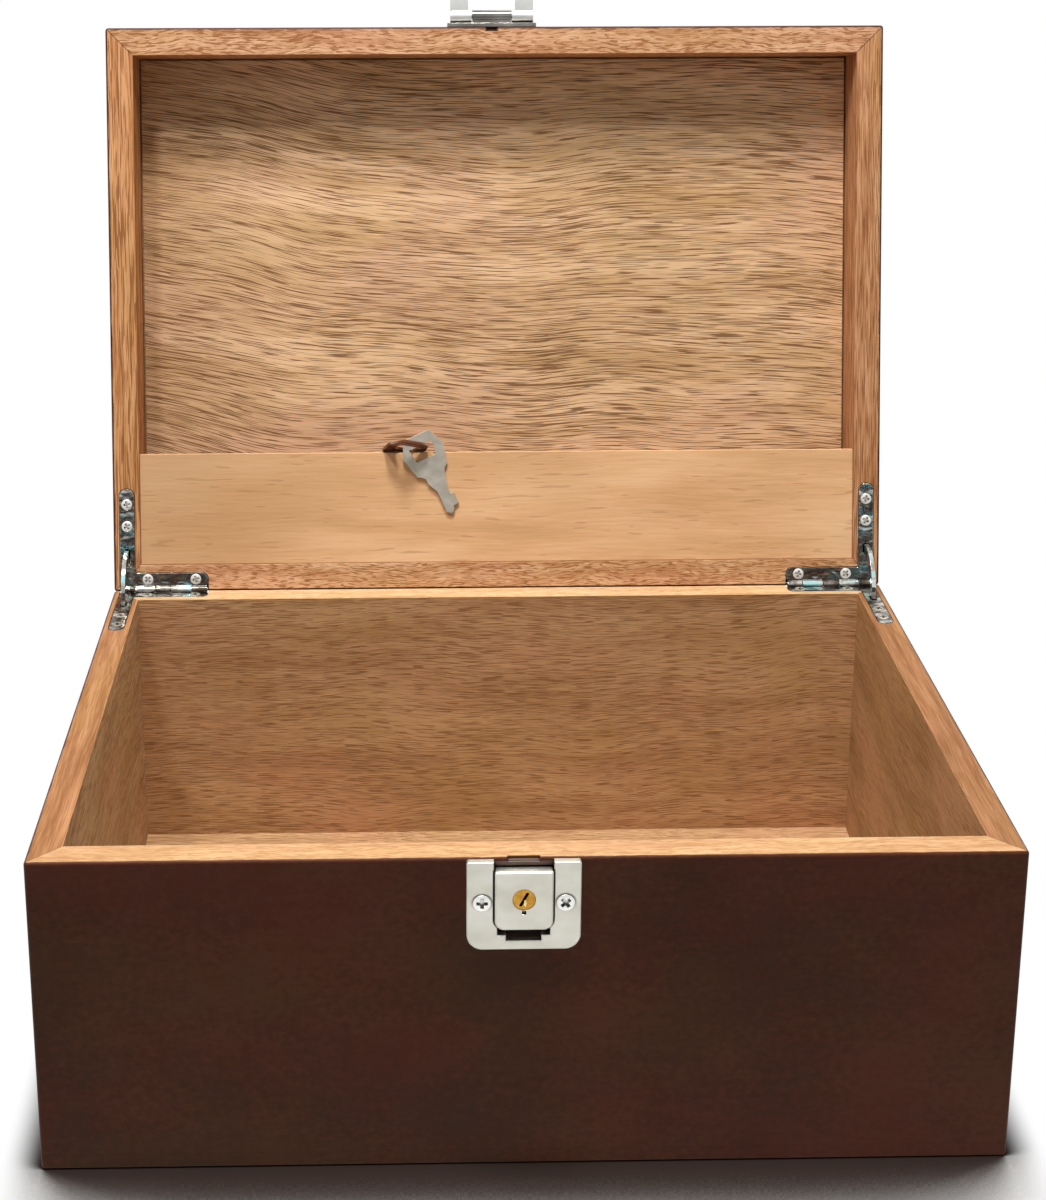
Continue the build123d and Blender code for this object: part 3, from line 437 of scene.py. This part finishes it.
boardSets = (
    ("base_{}_board", False, rimHeight, bottomTop, seams["baseShare"],
     {"front": (frontRim, rearVeneer), "back": (rearRim, rearVeneer),
      "left": (sideRim, leftVeneer), "right": (rightRim, rightVeneer)}),
    ("lid_{}_rail", True, lidRim, lidTop, seams["lidShare"],
     {"front": (lidTopRail, lidTopRail), "back": (railTimber, railTimber),
      "left": (lidLeftRail, lidLeftRail), "right": (lidRightRail, lidRightRail)}),
)
grains = {"front": "x", "back": "x", "left": "y", "right": "y"}
for naming, onLid, rimLevel, seamLevel, seamShare, looks in boardSets:
    for side, grain in grains.items():
        board = naming.format(side)
        dress([board], boardMaterial("okoume " + board, grain, onLid, *looks[side], rimLevel,
                                     seamLevel, seamShare))
print("boards: stained, rims and inner faces bare")


# A flat sheet of one wood, with a painted shadow line where it meets what frames it
def sheetMaterial(name, look, onLid, halfX, lowY, highY):
    material, tree, shader, objectPoint = newMaterial(name)
    point = boxPoint(tree, objectPoint, onLid)
    x, y, z = addNode(tree, "ShaderNodeSeparateXYZ", (point,)).outputs
    figure, relief = timber(tree, point, look)
    across = addNode(tree, "ShaderNodeMath", (x,), operation="ABSOLUTE")
    sideGap = addNode(tree, "ShaderNodeMath", (halfX, across), operation="SUBTRACT")
    lowGap = addNode(tree, "ShaderNodeMath", (y, lowY), operation="SUBTRACT")
    highGap = addNode(tree, "ShaderNodeMath", (highY, y), operation="SUBTRACT")
    endGap = addNode(tree, "ShaderNodeMath", (lowGap, highGap), operation="MINIMUM")
    gap = addNode(tree, "ShaderNodeMath", (sideGap, endGap), operation="MINIMUM")
    # Painted shadow line along the sheet's edges
    line = addNode(tree, "ShaderNodeMapRange", (
        gap, *seams["sheetRange"], seams["sheetShare"], 0.0), **smooth)
    colour = addNode(tree, "ShaderNodeMix", {0: line, 6: figure, 7: linear(seams["recess"])},
                     **colours)
    rough = addNode(tree, "ShaderNodeMapRange", (
        relief, *bareWood["reliefRange"], *bareWood["sheetRough"]), **smooth)
    finishWood(tree, shader, colour, rough, relief, bareWood["bump"])
    return material


# The pocket board's free edge has no line, so its lower limit lies past the board
pocket = {"reach": 44, "spare": 5}
innerHalfX = halfWidth - wallThickness
innerHalfY = halfDepth - wallThickness
dress(["lid_lining_panel"], sheetMaterial("okoume lining veneer", liningVeneer, True,
                                          halfWidth, -halfDepth, halfDepth))
dress(["lid_pocket_board"], sheetMaterial("birch pocket board", pocketTimber, True, innerHalfX,
                                          innerHalfY - pocket["reach"] - pocket["spare"],
                                          innerHalfY))


# A panel over the frames: stained all round, veneered where it closes the inside
def panelMaterial(name, onLid, innerLevel):
    material, tree, shader, objectPoint = newMaterial(name)
    point = boxPoint(tree, objectPoint, onLid)
    x, y, z = addNode(tree, "ShaderNodeSeparateXYZ", (point,)).outputs
    figure, relief = timber(tree, point, rearVeneer)
    above = addNode(tree, "ShaderNodeMath", (z, innerLevel), operation="SUBTRACT")
    fromLevel = addNode(tree, "ShaderNodeMath", (above,), operation="ABSOLUTE")
    atLevel = addNode(tree, "ShaderNodeMapRange", (fromLevel, *edges["panelFace"]), **smooth)
    outside = addNode(tree, "ShaderNodeMath", pastSides(tree, x, y), operation="MAXIMUM")
    inside = addNode(tree, "ShaderNodeMapRange", (outside, *edges["panelInside"]), **smooth)
    face = addNode(tree, "ShaderNodeMath", (atLevel, inside), operation="MULTIPLY")
    outer = stainedColour(tree, point, figure)
    colour = addNode(tree, "ShaderNodeMix", {0: face, 6: outer, 7: figure}, **colours)
    rough = addNode(tree, "ShaderNodeMix", {0: face, 2: lacquerRoughness(tree, point),
                                            3: bareWood["panelRough"]})
    finishWood(tree, shader, colour, rough, relief, bareWood["panelBump"])
    return material


dress(["base_bottom_panel"], panelMaterial("stained bottom panel", False, bottomTop))
dress(["lid_top_panel"], panelMaterial("stained top panel", True, lidTop))
print("panels, lining and pocket board: done")


# Metals
# Shadow in the gap round a pair of countersunk heads, deepest at their tops: a ring outside the
# radius, by the distance from a head's centre, root of (|x - m| - a)^2 + (z - h)^2
def seatShadow(tree, point, seats):
    x, y, z = addNode(tree, "ShaderNodeSeparateXYZ", (point,)).outputs
    fromMiddle = addNode(tree, "ShaderNodeMath", (x, seats["middle"]), operation="SUBTRACT")
    aside = addNode(tree, "ShaderNodeMath", (fromMiddle,), operation="ABSOLUTE")
    across = addNode(tree, "ShaderNodeMath", (aside, seats["aside"]), operation="SUBTRACT")
    up = addNode(tree, "ShaderNodeMath", (z, seats["height"]), operation="SUBTRACT")
    upSquare = addNode(tree, "ShaderNodeMath", (up, up), operation="MULTIPLY")
    square = addNode(tree, "ShaderNodeMath", (across, across, upSquare),
                     operation="MULTIPLY_ADD")
    distance = addNode(tree, "ShaderNodeMath", (square,), operation="SQRT")
    ring = addNode(tree, "ShaderNodeMapRange", (
        distance, seats["radius"] + seats["width"], seats["radius"]), **smooth)
    strength = addNode(tree, "ShaderNodeMapRange", (
        up, -seats["radius"], seats["radius"], 0.0, seats["share"]), **smooth)
    return addNode(tree, "ShaderNodeMath", (ring, strength), operation="MULTIPLY")


# What all the metals share: the range of openness over which painted shade fills a crevice, how high
# the grain and the ripples of the press stand in metres, and the rays for soft edges and crevices
metalLevels = {"openness": (0.25, 0.85), "grainHeight": 0.0001, "rippleHeight": 0.001,
               "grainShift": 3, "rippleShift": 7, "creviceRays": 8, "edgeRays": 6}


# A plated or bare metal: a fine grain in its roughness, slow patches in its colour, which on the
# mirror plates are painted reflections, painted shade in its crevices, rounded edges
def metalMaterial(name, look):
    material, tree, shader, objectPoint = newMaterial(name)
    point = inMillimetres(tree, objectPoint)
    patches = stretched(tree, point, *look["patch"], look["seed"])
    colour = addNode(tree, "ShaderNodeValToRGB", {"Fac": patches}, look["tones"])
    # Painted shade in crevices: the colour darkens towards a shade colour where the crevice is
    # closed in
    crevice = addNode(tree, "ShaderNodeAmbientOcclusion", {"Distance": look["crevice"]},
                      samples=metalLevels["creviceRays"])
    deep = addNode(tree, "ShaderNodeMapRange", (
        crevice.outputs["AO"], *metalLevels["openness"], 1.0, 0.0), **smooth)
    creviceShadeMask = addNode(tree, "ShaderNodeMath", (deep, look["creviceShade"]), operation="MULTIPLY")
    colour = addNode(tree, "ShaderNodeMix", {0: creviceShadeMask, 6: colour, 7: linear(look["creviceShadeColour"])},
                     **colours)
    if "seats" in look:
        shadow = seatShadow(tree, point, look["seats"])
        colour = addNode(tree, "ShaderNodeMix", {
            0: shadow, 6: colour, 7: linear(look["seats"]["colour"])}, **colours)
    grain = stretched(tree, point, *look["grain"], look["seed"] + metalLevels["grainShift"])
    rough = addNode(tree, "ShaderNodeMapRange", (
        grain, lowLevel, highLevel, *look["roughness"]), **smooth)
    rounded = addNode(tree, "ShaderNodeBevel", {"Radius": look["edge"]},
                      samples=metalLevels["edgeRays"])
    bump = addNode(tree, "ShaderNodeBump", {
        "Height": grain, "Strength": look["bump"], "Distance": metalLevels["grainHeight"],
        "Normal": rounded})
    ripple = stretched(tree, point, *look["ripple"], look["seed"] + metalLevels["rippleShift"],
                       detail=1.0)
    waved = addNode(tree, "ShaderNodeBump", {
        "Height": ripple, "Strength": look["wave"], "Distance": metalLevels["rippleHeight"],
        "Normal": bump})
    feed(tree, shader, {"Base Color": colour, "Roughness": rough, "Normal": waved,
                        "Metallic": look["metallic"], "Specular IOR Level": look["specular"]})
    return material


# Steel pressed and tumbled, satin nickel plate: soft pale grey with a warm cast. Its real grain is
# some 0.05 mm, and is drawn ten times coarser so that it shows at all
satinNickel = {"seed": 1.0, "patch": (14, 9), "tones": [(0.3, "#cbc8bb"), (0.5, "#d6d3c7"),
                                                        (0.7, "#e0ddd3")],
               "grain": (0.6, 0.5), "roughness": (0.34, 0.46), "bump": 0.12, "edge": 0.0003,
               "ripple": (8, 6), "wave": 0.0, "metallic": 1.0, "specular": 0.5,
               "crevice": 0.0015, "creviceShade": 0.6, "creviceShadeColour": "#4a423c"}
# Pressed steel, bright nickel plate, mirror like: its colour painted dark, a painted reflection of
# the dark room
brightNickel = satinNickel | {"seed": 5.0, "tones": [(0.3, "#66645d"), (0.5, "#787670"),
                                                     (0.7, "#8c8a83")],
                              "roughness": (0.12, 0.2), "bump": 0.04, "creviceShade": 0.8,
                              "creviceShadeColour": "#2a211c"}
# The hasp's frame, a little scratched from use, so paler
haspNickel = brightNickel | {"seed": 5.8, "roughness": (0.3, 0.45),
                             "tones": [(0.3, "#c6c6c2"), (0.5, "#d0d0cc"), (0.7, "#dadad6")]}
# Pressed steel, bright zinc plate with a blue passivate: pale teal clouds, and grey patches painted
# as reflections of a dark room, on a mirror that the press left slightly wavy, so that dark and
# light run into each other
brightZinc = brightNickel | {"seed": 6.0, "patch": (6, 4),
                             "tones": [(0.42, "#a39e96"), (0.52, "#cfd0cb"), (0.62, "#b3dfe2")],
                             "ripple": (7, 4), "wave": 0.3, "edge": 0.0002, "crevice": 0.0022,
                             "creviceShade": 0.85}
# Base leaves, the same plate, painted darker: a painted reflection of the lid's underside that they
# mirror
shadedZinc = brightZinc | {"seed": 7.4, "tones": [(0.42, "#5f564d"), (0.52, "#8c877f"),
                                                  (0.64, "#c8c6bf")], "wave": 0.5}
# Screws of the lid leaves, cold headed and nickelled, rubbed dull by the driver: pale, with painted
# shade in the cross
hingeScrewSteel = brightNickel | {"seed": 9.0, "tones": [(0.3, "#e2e0d8"), (0.5, "#ebe9e2"),
                                                         (0.7, "#f1efe8")],
                                  "roughness": (0.4, 0.5), "metallic": 0.5, "crevice": 0.0007,
                                  "creviceShade": 1.0}
# Screws of the lock and the hasp, the same but polished: nearly white
frontScrewSteel = hingeScrewSteel | {"seed": 9.6, "crevice": 0.0016, "creviceShadeColour": "#6d6c67",
                                     "roughness": (0.3, 0.4), "metallic": 1.0,
                                     "tones": [(0.3, "#efede6"), (0.5, "#f5f4ee"), (0.7, "#faf9f5")]}
# Screws of the base leaves, painted darker: painted shade of the lid over them
shadedScrewSteel = hingeScrewSteel | {"seed": 9.3, "tones": [(0.3, "#857f6c"), (0.5, "#a19b8b"),
                                                             (0.7, "#c4bfb2")]}
# Keys stamped from sheet and tumbled: duller grey, edges rubbed bright
keySteel = satinNickel | {"seed": 3.0, "patch": (8, 6),
                          "tones": [(0.3, "#aca79a"), (0.5, "#b9b5a8"), (0.7, "#c6c2b6")],
                          "roughness": (0.5, 0.62), "metallic": 0.8, "creviceShade": 0.5}
# The second key hangs edge on, painted brown: a painted reflection of the dark wood
backKeySteel = keySteel | {"seed": 3.6, "tones": [(0.3, "#6e3f2c"), (0.5, "#7a4a35"),
                                                  (0.7, "#a89a8c")], "roughness": (0.25, 0.4)}
# Turned brass plug, lacquered: yellow, with painted shade near black in its crevices
turnedBrass = satinNickel | {"seed": 4.0, "patch": (2, 2),
                             "tones": [(0.3, "#b58234"), (0.5, "#c8963f"), (0.7, "#dcae56")],
                             "roughness": (0.22, 0.34), "crevice": 0.002, "creviceShade": 0.9,
                             "creviceShadeColour": "#1d120a"}
# Spring wire, drawn and blued: dark grey
springSteel = satinNickel | {"seed": 8.0, "tones": [(0.3, "#7c7b78"), (0.5, "#8d8c88"),
                                                    (0.7, "#9b9a96")]}
# Case lacquered dark brown: dull, hardly reflecting, with painted shade near black where it lies
# deep
caseLacquer = satinNickel | {"seed": 2.0, "tones": [(0.3, "#76635a"), (0.5, "#857168"),
                                                    (0.7, "#927e74")],
                             "roughness": (0.5, 0.65), "metallic": 0.0, "specular": 0.08,
                             "crevice": 0.006, "creviceShade": 1.0, "creviceShadeColour": "#120a07"}
# The button's flange lies deep behind the plate: painted shade makes it nearly black in the window
buttonNickel = satinNickel | {"crevice": 0.004, "creviceShade": 1.0, "creviceShadeColour": "#120b08"}
# The plate, with a painted shadow in the gap round its two screws
headLow, headHigh = (np.array(corner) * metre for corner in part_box("lock_screws"))
headRadius = (headHigh[2] - headLow[2]) / 2
plateNickel = satinNickel | {"seats": {
    "middle": (headLow[0] + headHigh[0]) / 2, "aside": (headHigh[0] - headLow[0]) / 2 - headRadius,
    "height": (headLow[2] + headHigh[2]) / 2, "radius": headRadius, "width": 0.9, "share": 1.0,
    "colour": "#241f1b"}}

hingeLeaves = [name for name in nodes if name.startswith("hinge_") and "screws" not in name]
finishes = {
    "plate nickel": (plateNickel, ["lock_plate"]),
    "button nickel": (buttonNickel, ["lock_button"]),
    "bright nickel": (brightNickel, ["hasp_mount", "hasp_pin"]),
    "rubbed nickel": (haspNickel, ["hasp_frame"]),
    "bright zinc": (brightZinc, [name for name in hingeLeaves if "base_leaf" not in name]),
    "shaded zinc": (shadedZinc, [name for name in hingeLeaves if "base_leaf" in name]),
    "hinge screw steel": (hingeScrewSteel, [name for name in nodes if "lid_screws" in name]),
    "shaded screw steel": (shadedScrewSteel, [name for name in nodes if "base_screws" in name]),
    "front screw steel": (frontScrewSteel, ["lock_screws", "hasp_screws", "lock_cam_screw"]),
    "key steel": (keySteel, ["key_front"]),
    "second key steel": (backKeySteel, ["key_back"]),
    "turned brass": (turnedBrass, ["lock_plug", "lock_cam"]),
    "case lacquer": (caseLacquer, ["lock_case"]),
}
for finish, (look, names) in finishes.items():
    dress(names, metalMaterial(finish, look))
print("metals: done")


# New pieces
# A mesh from a grid of points: rows joined by quads, each row closed to a ring, and the first and
# the last ring capped by one face
def gridPiece(name, points, material, body):
    rows, columns = points.shape[:2]
    index = np.arange(rows * columns).reshape(rows, columns)
    ahead = np.roll(index, -1, axis=1)
    quads = np.stack([index[:-1], ahead[:-1], ahead[1:], index[1:]], axis=-1).reshape(-1, 4)
    faces = quads.tolist() + [index[0, ::-1].tolist(), index[-1].tolist()]
    mesh = bpy.data.meshes.new(name)
    mesh.from_pydata((points.reshape(-1, 3) / metre).tolist(), [], faces)
    mesh.shade_smooth()
    mesh.materials.append(material)
    piece = bpy.data.objects.new(name, mesh)
    bpy.context.scene.collection.objects.link(piece)
    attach(piece, body)
    return piece


# Coil spring: a circle of wire carried along a helix, centre = c + a s + r (u cos t + v sin t),
# with the circle spanned by the outward direction and the axis
def coil(name, node, axis, look, body):
    low, high = (np.array(corner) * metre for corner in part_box(node))
    middle = (low + high) / 2
    along = np.eye(3)[axis]
    across = np.eye(3)[(axis + 1) % 3]
    upright = np.eye(3)[(axis + 2) % 3]
    wire = look["wire"] / 2
    radius = (high - low)[(axis + 1) % 3] / 2 - wire
    length = (high - low)[axis] - 2 * wire
    share = np.linspace(0, 1, look["turns"] * look["steps"] + 1)[:, None]
    angle = share * look["turns"] * 2 * math.pi
    outward = across * np.cos(angle) + upright * np.sin(angle)
    line = middle + along * (share - 0.5) * length + outward * radius
    around = np.linspace(0, 2 * math.pi, look["sides"], endpoint=False)[None, :, None]
    ring = outward[:, None] * np.cos(around) + along * np.sin(around)
    piece = gridPiece(name, line[:, None] + wire * ring, springWire, body)
    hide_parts(node)
    return piece


springWire = metalMaterial("spring wire", springSteel)
springs = {"wire": 0.5, "turns": 9, "steps": 20, "sides": 8}
lockCoil = coil("lockSpringCoil", "lock_spring", 2, springs, "base")
coil("haspSpringCoil", "hasp_spring", 0, springs | {"wire": 0.4, "turns": 12}, "lid")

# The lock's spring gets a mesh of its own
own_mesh(lockCoil)

# Bright edge of the first wafer in the keyway: a bar along the height, s from end to end, whose
# cross section w cos t by h sin t shrinks to both ends as the root of 1 - s^4, standing a hair out
# of the plug
wafer = {"length": 2.3, "width": 0.85, "height": 0.5, "out": 0.12, "drop": 1.35, "aside": 0.35,
         "rows": 13, "sides": 12, "lastRow": 0.98}
plugLow, plugHigh = (np.array(corner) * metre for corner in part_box("lock_plug"))
plugX, _, plugZ = (plugLow + plugHigh) / 2
span = np.linspace(-wafer["lastRow"], wafer["lastRow"], wafer["rows"])[:, None]
shrink = np.sqrt(1 - span**4)
turnAround = np.linspace(0, 2 * math.pi, wafer["sides"], endpoint=False)[None]
waferX = plugX + wafer["aside"] + wafer["width"] / 2 * shrink * np.cos(turnAround)
waferY = plugLow[1] - wafer["out"] + wafer["height"] / 2 * (1 + shrink * np.sin(turnAround))
waferZ = np.broadcast_to(plugZ - wafer["drop"] + wafer["length"] / 2 * span, waferX.shape)
# The wafer's edge, stamped brass that the keys have rubbed bright
waferBrass = metalMaterial("rubbed brass", turnedBrass | {
    "seed": 4.6, "tones": [(0.3, "#e8c878"), (0.5, "#f4dc96"), (0.7, "#fff0bc")],
    "roughness": (0.3, 0.4), "creviceShade": 0.2})
gridPiece("plugWafer", np.stack([waferX, waferY, waferZ], axis=-1), waferBrass, "cylinder")
print("springs and wafer: done")


# Stage
# One where a camera, a mirror or a glass looks, and nothing where light is only gathered
def seenRays(tree):
    rays = addNode(tree, "ShaderNodeLightPath").outputs
    direct = addNode(tree, "ShaderNodeMath", (rays["Is Camera Ray"], rays["Is Glossy Ray"]),
                     operation="MAXIMUM")
    return addNode(tree, "ShaderNodeMath", (direct, rays["Is Transmission Ray"]),
                   operation="MAXIMUM")


# Floor: white where it is seen, with the shadow of the box, and a painted contact shadow that only
# the camera sees, darkest where the box stands; grey where it lights the box. It glows as white as
# the backdrop some centimetres in front of the box and some millimetres beside it
stageLook = {"floor": "#f4f3f1", "bounce": "#9d9b97", "glowFront": (25, 110),
             "glowSide": (0, 14), "size": 30, "drop": 0.0002, "paintedContactShadow": "#352b27",
             "contactReach": 0.08, "contactClosed": (1.0, 0.6), "contactRays": 16}
white = "#ffffff"


def floorMaterial():
    material, tree, shader, objectPoint = newMaterial("white floor")
    tree.nodes.remove(shader)
    openness = addNode(tree, "ShaderNodeAmbientOcclusion",
                       {"Distance": stageLook["contactReach"]},
                       samples=stageLook["contactRays"]).outputs["AO"]
    paintedContactShadow = addNode(tree, "ShaderNodeMapRange", (openness, *stageLook["contactClosed"]),
                      **smooth)
    cameraRay = addNode(tree, "ShaderNodeLightPath").outputs["Is Camera Ray"]
    contactShadowMask = addNode(tree, "ShaderNodeMath", (cameraRay, paintedContactShadow), operation="MULTIPLY")
    shaded = addNode(tree, "ShaderNodeMix", {
        0: contactShadowMask, 6: linear(stageLook["floor"]), 7: linear(stageLook["paintedContactShadow"])}, **colours)
    seen = seenRays(tree)
    colour = addNode(tree, "ShaderNodeMix", {0: seen, 6: linear(stageLook["bounce"]), 7: shaded},
                     **colours)
    matt = addNode(tree, "ShaderNodeBsdfDiffuse", {"Color": colour})
    point = inMillimetres(tree, objectPoint)
    x, y, z = addNode(tree, "ShaderNodeSeparateXYZ", (point,)).outputs
    beside, before = pastSides(tree, x, y)
    farBeside = addNode(tree, "ShaderNodeMapRange", (beside, *stageLook["glowSide"]), **smooth)
    farBefore = addNode(tree, "ShaderNodeMapRange", (before, *stageLook["glowFront"]), **smooth)
    far = addNode(tree, "ShaderNodeMath", (farBeside, farBefore), operation="MAXIMUM")
    glowing = addNode(tree, "ShaderNodeMath", (seen, far), operation="MULTIPLY")
    glow = addNode(tree, "ShaderNodeEmission", {"Color": linear(white)})
    both = addNode(tree, "ShaderNodeMixShader", (glowing, matt, glow))
    output = [node for node in tree.nodes if node.type == "OUTPUT_MATERIAL"][0]
    feed(tree, output, {"Surface": both})
    return material


bpy.ops.mesh.primitive_plane_add(size=stageLook["size"], location=(0, 0, -stageLook["drop"]))
floor = bpy.context.object
floor.name = "floor"
floor.data.materials.append(floorMaterial())

# Dark card in front of the box that only mirrors see: it stands for the unlit room behind the
# camera, and gives the bright plate its dark parts
card = {"place": (0, -1.9, 0.2), "size": 2.4, "height": 0.2, "colour": "#2a2420"}
bpy.ops.mesh.primitive_plane_add(size=card["size"], location=card["place"],
                                 rotation=(math.radians(90), 0, 0))
cardObject = bpy.context.object
cardObject.name = "dark card"
cardObject.scale.y = card["height"]
cardMaterial, cardTree, cardShader, _ = newMaterial("dark card")
feed(cardTree, cardShader, {"Base Color": linear(card["colour"]), "Roughness": 1.0})
cardObject.data.materials.append(cardMaterial)
for ray in ("camera", "diffuse", "transmission", "shadow"):
    setattr(cardObject, "visible_" + ray, False)

# World: white wherever it is seen, and a plain soft fill for everything it lights
skyFill = 0.3
world = bpy.data.worlds.new("studio")
bpy.context.scene.world = world
world.use_nodes = True
worldTree = world.node_tree
worldTree.nodes.clear()
skyLevel = addNode(worldTree, "ShaderNodeMapRange", (
    seenRays(worldTree), 0.0, 1.0, skyFill, 1.0), **smooth)
sky = addNode(worldTree, "ShaderNodeBackground", {"Color": linear(white), "Strength": skyLevel})
addNode(worldTree, "ShaderNodeOutputWorld", {"Surface": sky})

# Lamps: direction to the lamp as azimuth left of the front and elevation, distance, size, and
# the level that they give a white surface facing them
lamps = {
    "key": {"azimuth": 38, "elevation": 60, "distance": 1.15, "size": 0.12, "level": 0.46},
    "overhead": {"azimuth": 10, "elevation": 76, "distance": 1.15, "size": 0.2, "level": 1.18},
    "behind": {"azimuth": 200, "elevation": 42, "distance": 1.8, "size": 0.8, "level": 0.2},
}
aim = Vector((0, 0.15, 0.3))
for name, lamp in lamps.items():
    azimuth = math.radians(lamp["azimuth"])
    elevation = math.radians(lamp["elevation"])
    toward = Vector((-math.sin(azimuth) * math.cos(elevation),
                     -math.cos(azimuth) * math.cos(elevation), math.sin(elevation)))
    light = bpy.data.lights.new(name, "AREA")
    light.size = lamp["size"]
    light.energy = lamp["level"] * (math.pi * lamp["distance"]) ** 2
    lampObject = bpy.data.objects.new(name, light)
    lampObject.location = aim + toward * lamp["distance"]
    lampObject.rotation_euler = toward.to_track_quat("Z", "Y").to_euler()
    bpy.context.scene.collection.objects.link(lampObject)
print("light: done")

# Camera, from a fit to the corners of the box: place and angles, focal length in pixels of the
# 1046 x 1200 frame, and the shift of the frame
view = {"place": (-0.0363, -0.712, 0.432), "pitch": 16.13, "yaw": 1.23, "roll": 0.06,
        "focal": 2210.2, "longSide": 1200, "sensor": 36, "shift": (0.06, -0.185)}
cameraData = bpy.data.cameras.new("camera")
cameraData.sensor_width = view["sensor"]
cameraData.lens = view["focal"] * cameraData.sensor_width / view["longSide"]
cameraData.shift_x, cameraData.shift_y = view["shift"]
camera = bpy.data.objects.new("camera", cameraData)
camera.location = view["place"]
level = Euler((math.radians(90 - view["pitch"]), 0, math.radians(-view["yaw"]))).to_matrix()
rolled = level @ Matrix.Rotation(math.radians(-view["roll"]), 3, "Z")
camera.rotation_euler = rolled.to_euler()
bpy.context.scene.collection.objects.link(camera)
bpy.context.scene.camera = camera

bpy.context.scene.view_settings.view_transform = "Standard"
